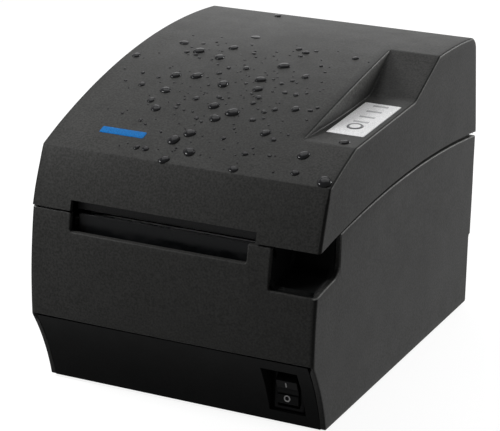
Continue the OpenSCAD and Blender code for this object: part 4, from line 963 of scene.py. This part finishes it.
def build_marks():
    """An annulus on the lower key and a rounded strip on the upper one, both a film thick."""
    ring = [(1.0, -MARK_FILM), (1.6, -MARK_FILM), (1.6, MARK_FILM), (1.0, MARK_FILM),
            (1.0, -MARK_FILM)]
    bar = rounded_rect((0.3, 1.3), 0.28, 5) + (MARK_X, BAR_UP)
    return add_mesh("rocker_marks", *joined([
        on_key(turned(ring, MARK_X, RING_UP), 0.0),
        on_key(prism(bar, -MARK_FILM, MARK_FILM), ROCKER_TURN)]))


SWITCH_BLACK = moulded("switch_plastic", (0.005, 0.0052, 0.0055), (0.007, 0.007, 0.0075),
                       0.38, 0.06, specular=0.04)
MARK_PAINT = moulded("mark_paint", (0.78, 0.78, 0.78), (0.82, 0.82, 0.82), 0.6, 0.1, 3000.0)

switch_housing = settle(build_switch_body())
dress(switch_housing, SWITCH_BLACK, "case", "switch_black", "power_switch_body")
softened("rocker_key", "power_rocker", 0.35, SWITCH_BLACK, "rocker", "switch_black", 3)
rocker_marks = build_marks()
merge_points(rocker_marks)
dress(rocker_marks, MARK_PAINT, "rocker", "white_plastic")

# ---------------------------------------- lid shell
# The hinged lid is one moulded shell: a crowned top that breaks at a crease into the leaning
# front, flat sides, and a panel recess at the right edge with a ramp behind it. Its lip over the
# slot, the label pocket, the button and window openings and the inlay pocket are cut through it.
CREST_Y, CREST_Z, CROWN_R = 151.7, 142.5, 345.0
CROWN_CENTRE = np.array([CREST_Y, CREST_Z - CROWN_R])
LID_FRONT_R, LID_FRONT_CENTRE = 145.0, np.array([143.73, 47.04])
LID_SETBACK, LID_DRAFT, LID_WALL = 4.7, 0.8, 2.2
CREASE_R = 1.0
REAR_LEAN, REAR_R = math.radians(3.3), 7.0
RECESS_X, RECESS_Y, RECESS_L = 46.5, 43.1, 68.4
RECESS_TILT, RAMP_TILT = math.radians(2.43), math.radians(25.5)
RAMP_BLEND, FLOOR_BLEND = 0.8, 0.35
# The recess's inner wall bows out by a rise, over a half length each way from its middle
WALL_MIDDLE, WALL_HALF, WALL_RISE = 92.0, 48.0, 2.6
WALL_HEAD, WALL_FOOT, WALL_REACH, WALL_R = -1.0, 0.15, 0.95, 0.7
# The side's rounded edge grows from its top radius to its front one, from a drop below the
# crease; the front's bow fades out towards a depth on the top
EDGE_TOP_R, EDGE_FRONT_R, EDGE_DROP, EDGE_GROWTH = 0.95, 1.4, 2.0, 6.0
BOW_END, BOW_FADE = 30.0, 15.0
# Points of the profile up the front, over the crown, round the rear corner and down the rear;
# lines up a side, across the top and the recess's floor, and round the edge, the wall's head and
# its foot
FRONT_POINTS, CROWN_POINTS, TURN_POINTS, REAR_POINTS = 34, 260, 14, 22
LID_SIDE, LID_TOP, LID_FLOOR, LID_ROUNDS = 18, 30, 12, (8, 6, 7)
LIP_X, LIP_Y, LIP_TOP = (-52.1, 41.5), (-5.0, 12.7), 92.8
LABEL_X, LABEL_Y, LABEL_HALF, LABEL_DEEP = 60.0, 36.1, (9.05, 22.1), 0.35
BUTTON_Y, BUTTON_R = 25.5, 3.7
WINDOW_Y, WINDOW_HALF = (32.1, 39.2, 47.1, 54.8), (3.78, 0.93)
INLAY_X, INLAY_BACK, INLAY_HALF, INLAY_DEEP = -38.0, 14.7, (11.5, 2.3), 0.6
# Painted shade (-1) and painted highlight (1) on the rounded edge from the top to the side, on the
# sides and on the front, and on the recess's upper edge
SIDE_PAINTED_LIGHT = -0.2, -1.0, -1.0, -0.8, 0.0, 0.9, 1.0, 0.1
FRONT_PAINTED_LIGHT = -0.2, -0.8, -1.0, -1.0, -1.0, -0.8, -0.4, 0.0
RECESS_PAINTED_LIGHT = -0.5, -1.0, -0.6, 0.4, 1.0, 0.7


def crown(y):
    """Height of the lid's top: an arc of the crown's radius under its crest."""
    return CREST_Z - CROWN_R + np.sqrt(CROWN_R ** 2 - (y - CREST_Y) ** 2)


def lid_edge(y):
    """Height of the lid's lower edge: half a gap above the parting line."""
    return seam(y) + seam_half(y)


def find_crease():
    """The foremost point where the circle of the crown and the circle of the front cross."""
    between = CROWN_CENTRE - LID_FRONT_CENTRE
    d = np.linalg.norm(between)
    along = (LID_FRONT_R ** 2 - CROWN_R ** 2 + d ** 2) / (2 * d)
    across = np.array([-between[1], between[0]]) / d * math.sqrt(LID_FRONT_R ** 2 - along ** 2)
    crossings = [LID_FRONT_CENTRE + between * along / d + s * across for s in (-1, 1)]
    return min(crossings, key=lambda point: point[0])


CREASE = find_crease()


def lid_profile():
    """The lid's side outline from its lower front edge over the top to its lower rear edge."""
    rises = [(z - LID_FRONT_CENTRE[1]) / LID_FRONT_R for z in (lid_edge(LID_SETBACK), CREASE[1])]
    low, high = (180 - math.degrees(math.asin(rise)) for rise in rises)
    front = arc(LID_FRONT_CENTRE, LID_FRONT_R, low, high, FRONT_POINTS)
    # Corner arc at the rear, tangent to the crown and to the leaning rear face
    normal = np.array([math.cos(REAR_LEAN), math.sin(REAR_LEAN)])
    up = np.array([-math.sin(REAR_LEAN), math.cos(REAR_LEAN)])
    rear_low = np.array([BODY_D, lid_edge(BODY_D)])
    base = rear_low - REAR_R * normal - CROWN_CENTRE
    climb = -base @ up + math.sqrt((base @ up) ** 2 - base @ base + (CROWN_R - REAR_R) ** 2)
    corner = base + climb * up
    start, end = (math.degrees(math.atan2(y, x)) for x, y in (CREASE - CROWN_CENTRE, corner))
    top = arc(CROWN_CENTRE, CROWN_R, start, end, CROWN_POINTS)
    rear_arc = arc(CROWN_CENTRE + corner, REAR_R, end, math.degrees(REAR_LEAN), TURN_POINTS)
    rear = np.linspace(rear_arc[-1], rear_low, REAR_POINTS)
    return round_crease(np.vstack([front, top[1:], rear_arc[1:], rear[1:]]))


def round_crease(path):
    """Rounds the crease between the front and the top by an arc of the crease's radius."""
    away = np.linalg.norm(path - CREASE, axis=1)
    at = int(np.argmin(away))
    before, after = path[at] - path[at - 3], path[at + 3] - path[at]
    u, v = -before / np.linalg.norm(before), after / np.linalg.norm(after)
    bend, reach = corner_arc(CREASE, u, v, CREASE_R, 7)
    clear = away > reach * 1.3
    return np.vstack([path[:at][clear[:at]], bend, path[at + 1:][clear[at + 1:]]])


def smooth_least(a, b, width):
    """The lesser of two heights, blended where they differ by less than width."""
    h = np.maximum(width - np.abs(a - b), 0) / width
    return np.minimum(a, b) - h * h * width / 4


def recess_height(y):
    """Height of the recess: a nearly level floor, then the ramp, with a hollow fillet between."""
    floor = crown(RECESS_Y) + (y - RECESS_Y) * math.tan(RECESS_TILT)
    turn_y = RECESS_Y + RECESS_L * math.cos(RECESS_TILT)
    turn_z = crown(RECESS_Y) + RECESS_L * math.sin(RECESS_TILT)
    return -smooth_least(-floor, -turn_z - (y - turn_y) * math.tan(RAMP_TILT), RAMP_BLEND)


def recess_wall_x(y):
    """Plan of the recess's inner wall: a shallow bow between its two ends."""
    return RECESS_X - 0.4 + WALL_RISE * np.clip(1 - ((y - WALL_MIDDLE) / WALL_HALF) ** 2, 0, 1)


def lid_half_width(z):
    """Half width of the lid, drawn in evenly from the parting line to the crown."""
    return BODY_W / 2 - LID_DRAFT * np.clip((z - SEAM_TOP) / (CREST_Z - SEAM_TOP), 0, 1)


def build_lid():
    """Lines along the whole profile, set side by side across the lid: side, rounded edge, top,
    the recess's wall and floor, rounded edge, side."""
    path = lid_profile()
    outward = path_normals(path)
    py, pz = path.T
    below = CREASE[1] - EDGE_DROP - pz
    front_share = np.where(py < BOW_END, np.clip(below / EDGE_GROWTH, 0, 1), 0)
    edge_r = EDGE_TOP_R + (EDGE_FRONT_R - EDGE_TOP_R) * front_share
    bowed = np.clip((BOW_END - py) / BOW_FADE, 0, 1)
    on_top = (below < 0) & (py < BODY_D - REAR_R - 4)
    floor = recess_height(py)
    open_top = on_top & (floor < pz + 1)
    sunk = smooth_least(pz, np.where(open_top, floor, pz), FLOOR_BLEND)
    sunk = np.where(open_top, sunk, pz)
    edge_y = py - outward[:, 0] * edge_r
    edge_z = np.maximum(pz - outward[:, 1] * edge_r, lid_edge(edge_y))
    # The lines' feet are spread along the lower edge; those that start on it stay
    on_edge = edge_z <= lid_edge(edge_y) + 0.01
    run = np.cumsum(np.where(on_edge, 0, np.hypot(*np.gradient(path, axis=0).T)))
    first = edge_y[~on_edge][0]
    foot_y = np.where(on_edge, edge_y, first + (edge_y[-1] - first) * run / run[-1])
    foot_z = lid_edge(foot_y)

    def line(x, y, z):
        """Points along the profile, bowed at the front like the case."""
        return np.stack([x, y + BOW * bowed * np.clip(np.abs(x) / (BODY_W / 2), 0, 1) ** 2, z], 1)

    def side(sign, top_z, shares):
        """Lines between the lower edge and the rounded edge above it, on the drafted side."""
        heights = [(foot_z + (top_z - foot_z) * share, share) for share in shares]
        return [line(sign * lid_half_width(z), foot_y + (edge_y - foot_y) * share, z)
                for z, share in heights]

    def rounded(sign, angles, top_z):
        """Lines of the rounded edge: in by the radius at 0 degrees, on the side at 90."""
        lines = []
        for a in angles:
            drop = edge_r * (1 - np.cos(a))
            y = py - outward[:, 0] * drop
            z = np.maximum(top_z - outward[:, 1] * drop, lid_edge(y))
            lines.append(line(sign * (lid_half_width(z) - edge_r * (1 - np.sin(a))), y, z))
        return lines

    def across(start, end, z, count):
        """Lines between two places on the top, without the first and the last."""
        return [line(start + (end - start) * share, py, z)
                for share in np.linspace(0, 1, count)[1:-1]]

    flat = lid_half_width(pz) - edge_r
    wall_x = recess_wall_x(py)
    depth = pz - sunk
    head_x, foot_x = wall_x + WALL_HEAD, wall_x + WALL_FOOT
    head_r, foot_r = np.minimum(WALL_R, 0.35 * depth), np.minimum(WALL_R, 0.3 * depth)
    turn, head_turn, foot_turn = (np.radians(np.linspace(0, 90, count)) for count in LID_ROUNDS)
    head = [line(head_x + WALL_REACH * np.sin(a), py, pz - head_r * (1 - np.cos(a)))
            for a in head_turn]
    foot = [line(foot_x + WALL_R * (1 - np.cos(a)), py, sunk + foot_r * (1 - np.sin(a)))
            for a in foot_turn]
    low_side = np.minimum(edge_z, np.maximum(sunk - outward[:, 1] * edge_r, lid_edge(edge_y)))
    shares = np.linspace(0, 1, LID_SIDE)[:-1]
    spans = [side(-1, edge_z, shares), rounded(-1, turn[::-1], pz),
             across(-flat, head_x - 0.2, pz, LID_TOP), head, foot,
             across(foot_x + WALL_R, flat, sunk, LID_FLOOR), rounded(1, turn, sunk),
             side(1, low_side, shares[::-1])]
    # The edge of a side gets painted shade above and a painted highlight below, and only painted
    # shade on the front
    upright = np.clip(front_share * 3, 0, 1)
    painted_edge_tone = [upright * b + (1 - upright) * a for a, b in zip(SIDE_PAINTED_LIGHT, FRONT_PAINTED_LIGHT)]
    marks = [[np.zeros(len(path))] * len(span) for span in spans]
    marks[1], marks[6] = painted_edge_tone[::-1], painted_edge_tone
    # Painted shade and painted highlight on the head of the recess's wall
    marks[3] = [mark * np.clip(depth, 0, 1) for mark in RECESS_PAINTED_LIGHT]
    lines = sum(spans, [])
    faces = grid_faces(len(lines), len(path))
    lid = add_mesh("lid_cover", np.vstack(lines), faces[:, ::-1])
    paint_edge_light(lid, sum(marks, []))
    return lid


def tilted(part, x, y, angle):
    """A part drawn on the lid's top: tilted by the angle and set on the crown at a place."""
    along, back, up = part[0].T
    c, s = math.cos(angle), math.sin(angle)
    return np.stack([x + along, y + back * c - up * s, crown(y) + back * s + up * c], 1), part[1]


def on_floor(part):
    """A part drawn on the recess's floor, from its front edge and the label's middle line."""
    return tilted(part, LABEL_X, RECESS_Y, RECESS_TILT)


def on_crown(part):
    """A part drawn on the crown, from the middle of the inlay."""
    inlay_y = CREASE[0] + INLAY_BACK
    return tilted(part, INLAY_X, inlay_y, math.asin((CREST_Y - inlay_y) / CROWN_R))


def cut(piece, *parts):
    """Applies the piece's walls, then cuts the closed parts out of it."""
    cutter = add_mesh("cutter", *joined(parts))
    boolean = piece.modifiers.new("openings", "BOOLEAN")
    boolean.object, boolean.operation, boolean.solver = cutter, "DIFFERENCE", "EXACT"
    finished = piece.evaluated_get(bpy.context.evaluated_depsgraph_get())
    piece.data = bpy.data.meshes.new_from_object(finished)
    piece.modifiers.clear()
    bpy.data.objects.remove(cutter)
    # Points of the inner wall that came out past the outside are brought back to it
    places = np.empty(len(piece.data.vertices) * 3)
    piece.data.vertices.foreach_get("co", places)
    places = np.clip(places.reshape(-1, 3), cad_low, cad_high)
    piece.data.vertices.foreach_set("co", places.ravel())


def lid_openings():
    """The cutters: a block for the lip, the panel's pocket and openings, the inlay's pocket."""
    panel = [prism(rounded_rect(LABEL_HALF, 0.4, 4) + (0, LABEL_Y), -LABEL_DEEP, 5),
             prism(arc((0, BUTTON_Y), BUTTON_R + 0.2, 0, 352.5, 48), -10, 0)]
    panel += [prism(rounded_rect(WINDOW_HALF, 0.2, 3) + (0, y), -10, 0) for y in WINDOW_Y]
    inlay_pocket = prism(rounded_rect(INLAY_HALF, 0.8, 6), -INLAY_DEEP, 5)
    return [box_of(LIP_X, LIP_Y, (SLOT_Z, LIP_TOP)), *map(on_floor, panel), on_crown(inlay_pocket)]


lid_cover = build_lid()
merge_points(lid_cover)
add_walls(lid_cover, LID_WALL)
cut(lid_cover, *lid_openings())
smooth_by_angle(lid_cover)
dress(lid_cover, CHARCOAL, "lid", "charcoal", "lid_shell")

# ---------------------------------------- crown inlay
# A plain blue strip with round ends, pressed into its pocket on the crown and standing a hair
# proud of it.


def build_inlay():
    """Rounded rectangles from the pocket's floor up, the last ones drawn in as a soft edge."""
    rings = []
    for inset, z in ((0.05, -0.58), (0.05, 0.0), (0.12, 0.08), (0.3, 0.12), (1.6, 0.12)):
        half = INLAY_HALF[0] - inset, INLAY_HALF[1] - inset
        outline = rounded_rect(half, max(0.75 - inset, 0.2), 6)
        rings.append(np.column_stack([outline, np.full(len(outline), z)]))
    return add_mesh("crown_inlay", *on_crown(lofted(rings)))


INLAY_BLUE = moulded("inlay_blue", (0.0, 0.095, 0.29), (0.001, 0.105, 0.32),
                     0.4, 0.12, 2400.0, 0.06)

dress(settle(build_inlay()), INLAY_BLUE, "lid", "blue_inlay", "lid_badge")

# ---------------------------------------- operator panel
# A pale printed film lies in the pocket of the recess, with four grey light windows and the feed
# button, a grey cap with a pale dish in its middle. The lamps and the switch are on a small board.
DISH_R = 2.6


def button_material():
    """Grey cap whose middle is pale: the distance from the button's axis chooses the colour."""
    material, tree, shader = new_material("button_cap")
    axis, _ = on_floor((np.array([[0, BUTTON_Y, 0]]), []))
    centred = vector_node(tree, "SUBTRACT", object_place(tree), to_metres(axis[0]))
    level = vector_node(tree, "MULTIPLY", centred, (1, 1, 0))
    away = node(tree, "ShaderNodeVectorMath", {0: level}, operation="LENGTH").outputs["Value"]
    ring = spread(tree, away, (DISH_R - 0.15) * MM, (DISH_R + 0.15) * MM, 0.0, 1.0)
    tint = blend_colour(tree, ring, (0.55, 0.55, 0.55, 1), (0.055, 0.056, 0.06, 1))
    wear(tree, shader, GRAIN, {"Grain per metre": 2400.0, "Base": tint, "Rub": tint,
                               "Roughness": 0.45, "Depth": 0.1})
    return material


def build_button():
    """A turned cap with a dished middle over its stem and plunger."""
    profile = [(0, -4.8), (1.1, -4.8), (1.1, -3.1), (1.7, -3.1), (1.7, -2.2),
               (BUTTON_R - 0.1, -2.2), (BUTTON_R, -2.1), (BUTTON_R, 0.4),
               (BUTTON_R - 0.12, 0.56), (BUTTON_R - 0.35, 0.62), (DISH_R + 0.5, 0.61),
               (DISH_R + 0.1, 0.5), (DISH_R - 0.2, 0.42), (DISH_R / 2, 0.36), (0, 0.34)]
    return add_mesh("feed_key", *on_floor(turned(profile, 0.0, BUTTON_Y, 48)))


FILM = moulded("panel_film", (0.60, 0.60, 0.605), (0.66, 0.66, 0.665), 0.5, 0.08, 3000.0, 0.3)
WINDOW_GREY = moulded("window_grey", (0.28, 0.285, 0.29), (0.3, 0.305, 0.31), 0.35, 0.05)

softened("panel_label", "panel_overlay", 0.1, FILM, "lid", "overlay_grey", 1)
finish_nodes(WINDOW_GREY, "light_pipes")
dress(settle(build_button()), button_material(), "button", "button_grey", "feed_button")

# ---------------------------------------- inner cover and platen
# Under the lid a black moulding closes its inside, arches over the roll, carries the hinge arms
# and, on a steel bracket, the ground shaft of the rubber platen.
PLATEN_RUBBER = moulded("platen_rubber", (0.014, 0.014, 0.0145), (0.02, 0.02, 0.02),
                        0.62, 0.15, 3000.0, 0.2)

finish_nodes(BLACK_PLASTIC, "lid_inner_cover", edge=0.3)
finish_nodes(DARK_STEEL, "platen_shaft")
finish_nodes(PLATEN_RUBBER, "platen_rubber")

# ---------------------------------------- water drops
# Splashed water stands in beads on the lid. All of them are one loose piece, so that it can be
# taken off; each bead is a low dome with a slightly uneven rim.
DROP_SEED, DROP_COUNT, DROP_TRIES = 11, 220, 4000
DROP_MIDDLE, DROP_SPREAD = (-4.0, 72.0), (26.0, 34.0)
DROP_LEAST, DROP_RANGE, DROP_APART = 0.45, 1.5, 1.15
DROP_X, DROP_Y = 66.0, 130.0
DROP_SIDES, DROP_RISE, DROP_RISE_RANGE, DROP_SUNK = 20, 0.36, 0.12, 0.04
# Angles of a bead's rings from its top, in degrees
DROP_RINGS = 0, 18, 36, 52, 66, 78, 86, 90
# Larger beads: x, y and radius
DROP_LARGE = [
    (-31, 178, 2.2), (-22, 134, 2.4), (-51, 114, 2.3), (-25, 116, 2.4), (-39, 107, 3.0),
    (-26, 103, 2.6), (-66, 93, 2.2), (36, 123, 1.7), (8, 103, 3.0), (23, 95, 2.0),
    (-37, 79, 2.6), (-27, 81, 2.8), (4, 86, 2.6), (-11, 77, 2.8), (7, 77, 2.4),
    (-35, 65, 2.7), (-6, 58, 2.6), (-32, 50, 2.6), (5, 55, 3.2), (32, 65, 2.2),
    (-1, 49, 2.8), (-7, 36, 2.8), (27, 44, 2.4), (-12, 30, 3.0), (-1, 24, 2.8),
    (51, 33, 2.8), (64, 48, 2.5), (-10, 17, 2.5), (24, 18, 2.2), (67.5, 19, 3.4)]


def lid_height(x, y):
    """Height of the lid's top at a place: the crown, or the recess to the right of its wall."""
    inside = (x > recess_wall_x(y) + 1.6) & (recess_height(y) < crown(y))
    return np.where(inside, recess_height(y), crown(y))


def scatter_drops():
    """The larger beads, then random ones gathered about a middle, kept where beads stay apart."""
    random = np.random.default_rng(DROP_SEED)
    kept = [np.array(drop, float) for drop in DROP_LARGE]
    for _ in range(DROP_TRIES):
        if len(kept) == DROP_COUNT:
            break
        x, y = random.normal(DROP_MIDDLE, DROP_SPREAD)
        radius = DROP_LEAST + DROP_RANGE * random.random() ** 3
        on_lid = abs(x) < DROP_X and CREASE[0] + 4 < y < DROP_Y
        by_wall = x > recess_wall_x(y) - 3 and y > RECESS_Y - 4
        on_inlay = abs(x - INLAY_X) < INLAY_HALF[0] + 2 and abs(y - CREASE[0] - INLAY_BACK) < 5
        apart = all(math.hypot(x - a, y - b) > DROP_APART * (radius + r) for a, b, r in kept)
        if on_lid and apart and not (by_wall or on_inlay):
            kept.append(np.array([x, y, radius]))
    return np.array(kept), random


def build_drops():
    """Domes on the lid: rim radius r (1 + small waves of the angle), height h cos(t) ** 0.9 at
    radius sin(t)."""
    drops, random = scatter_drops()
    x, y, r = (drops[:, k][:, None, None] for k in range(3))
    t = np.radians(DROP_RINGS)[None, :, None]
    a = np.linspace(0, 2 * math.pi, DROP_SIDES, endpoint=False)[None, None, :]
    phase = random.random((len(drops), 2, 1)) * 2 * math.pi
    rim = r * (1 + 0.09 * np.cos(2 * a + phase[:, :1]) + 0.04 * np.cos(3 * a + phase[:, 1:]))
    height = r * (DROP_RISE + DROP_RISE_RANGE * random.random((len(drops), 1, 1)))
    height = np.minimum(height, CREST_Z - lid_height(x, y))
    u, v = rim * np.sin(t) * np.cos(a), rim * np.sin(t) * np.sin(a)
    w = height * np.cos(t) ** 0.9 + 0 * a
    # A last ring under the skin closes each bead
    u, v = (np.concatenate([k, k[:, -1:], 0 * k[:, :1]], 1) for k in (u, v))
    w = np.concatenate([w, 0 * w[:, :2] - DROP_SUNK], 1)
    slope = np.arctan((lid_height(x, y + 0.3) - lid_height(x, y - 0.3)) / 0.6)
    py = y + v * np.cos(slope) - w * np.sin(slope)
    pz = lid_height(x, y) + v * np.sin(slope) + w * np.cos(slope)
    points = np.stack([x + u, py, pz], -1)
    rows, columns = w.shape[1:]
    one = grid_faces(rows, columns, close_columns=True)[:, ::-1]
    faces = one[None] + (np.arange(len(drops)) * rows * columns)[:, None, None]
    return add_mesh("water_drops", points.reshape(-1, 3), faces.reshape(-1, 4))


def water_material():
    """Water over a dark lid: hardly any light comes back through it, so it is dark and glossy."""
    material, tree, shader = new_material("standing_water")
    ripple = noise(tree, object_place(tree), 400.0)
    deep, shallow = (0.004, 0.0042, 0.005, 1), (0.007, 0.007, 0.008, 1)
    feed(tree, shader, {
        "Base Color": blend_colour(tree, ripple, deep, shallow), "Specular IOR Level": 0.1,
        "Roughness": spread(tree, ripple, 0.3, 0.7, 0.03, 0.1)})
    return material


dress(settle(build_drops(), 60), water_material(), "lid", None)

# ---------------------------------------- stage
# A plain pale floor under four soft lamps, in a world that is white to the eye and lights little
# from in front; the camera looks down at the right front corner.
CAMERA_PLACE = (0.4269, -0.8781, 0.4166)
CAMERA_AZIMUTH, CAMERA_ELEVATION, CAMERA_ROLL = map(math.radians, (26.26, 19.727, 0.218))
FOCAL_PIXELS, FRAME_WIDTH, SENSOR_WIDTH = 2152.0, 500.0, 36.0
VIEW_END = 50.0
FLOOR_HALF, FLOOR_GLOW = 6.0, 0.88
WHITE = (1, 1, 1, 1)


def place_camera():
    """The camera, from its place, bearing, elevation and roll."""
    az, el, roll = CAMERA_AZIMUTH, CAMERA_ELEVATION, CAMERA_ROLL
    right = np.array([math.cos(az), math.sin(az), 0.0])
    back = np.array([math.sin(az) * math.cos(el), -math.cos(az) * math.cos(el), math.sin(el)])
    up = np.cross(back, right)
    matrix = np.eye(4)
    matrix[:3, 0] = math.cos(roll) * right + math.sin(roll) * up
    matrix[:3, 1] = math.cos(roll) * up - math.sin(roll) * right
    matrix[:3, 2] = back
    matrix[:3, 3] = CAMERA_PLACE
    data = bpy.data.cameras.new("camera")
    data.sensor_width = SENSOR_WIDTH
    data.lens = FOCAL_PIXELS * SENSOR_WIDTH / FRAME_WIDTH
    data.clip_end = VIEW_END
    camera = add_object("camera", data)
    camera.matrix_world = mathutils.Matrix(matrix.tolist())
    bpy.context.scene.camera = camera


def add_lamp(name, place, target, size, power):
    """A rectangular soft lamp that faces a target."""
    data = bpy.data.lights.new(name, "AREA")
    data.shape = "RECTANGLE"
    data.size, data.size_y = size
    data.energy = power
    lamp = add_object(name, data)
    lamp.location = place
    aim = mathutils.Vector(target) - mathutils.Vector(place)
    lamp.rotation_euler = aim.to_track_quat("-Z", "Y").to_euler()


def seen_rays(tree):
    """1 for the rays that look at the background: from the camera, in reflections and glass."""
    rays = node(tree, "ShaderNodeLightPath").outputs
    seen = math_node(tree, "MAXIMUM", rays["Is Camera Ray"], rays["Is Transmission Ray"])
    return math_node(tree, "MAXIMUM", seen, rays["Is Glossy Ray"])


def add_floor():
    """The floor: a grey that takes the shadow, and a glow for looking rays that lifts it to
    white."""
    corners = np.array([(-1, -1), (1, -1), (1, 1), (-1, 1)]) * FLOOR_HALF
    mesh = bpy.data.meshes.new("floor")
    mesh.from_pydata([(x, y, 0) for x, y in corners], [], [(0, 1, 2, 3)])
    material, tree, shader = new_material("floor_paper")
    feed(tree, shader, {
        "Base Color": (0.2, 0.2, 0.2, 1), "Roughness": 0.9, "Specular IOR Level": 0.0,
        "Emission Color": WHITE,
        "Emission Strength": math_node(tree, "MULTIPLY", seen_rays(tree), FLOOR_GLOW)})
    mesh.materials.append(material)
    add_object("floor", mesh)


def set_world():
    """White to the looking rays; as a light, a soft band behind the object, dim in front."""
    world = bpy.data.worlds.new("studio")
    bpy.context.scene.world = world
    world.use_nodes = True
    tree = world.node_tree
    place = node(tree, "ShaderNodeTexCoord").outputs["Generated"]
    depth = node(tree, "ShaderNodeSeparateXYZ", {0: place}).outputs["Y"]
    behind = spread(tree, depth, -0.2, 0.8, 0.05, 0.5)
    feed(tree, tree.nodes["Background"], {
        "Color": WHITE, "Strength": math_node(tree, "MAXIMUM", behind, seen_rays(tree))})


place_camera()
add_floor()
set_world()
add_lamp("top_softbox", (-0.2, 0.4, 1.2), (0, 0, 0.1), (1.0, 0.8), 6)
add_lamp("rear_left", (-0.6, 1.2, 0.75), (0, 0, 0.1), (0.6, 0.6), 1.3)
add_lamp("rear_right", (0.55, 0.9, 0.4), (0, 0, 0.1), (0.3, 0.3), 8)
add_lamp("front_left", (-0.3, -0.22, 0.34), (-0.02, -0.05, 0.1), (0.15, 0.15), 1.95)
bpy.context.scene.view_settings.view_transform = "Standard"
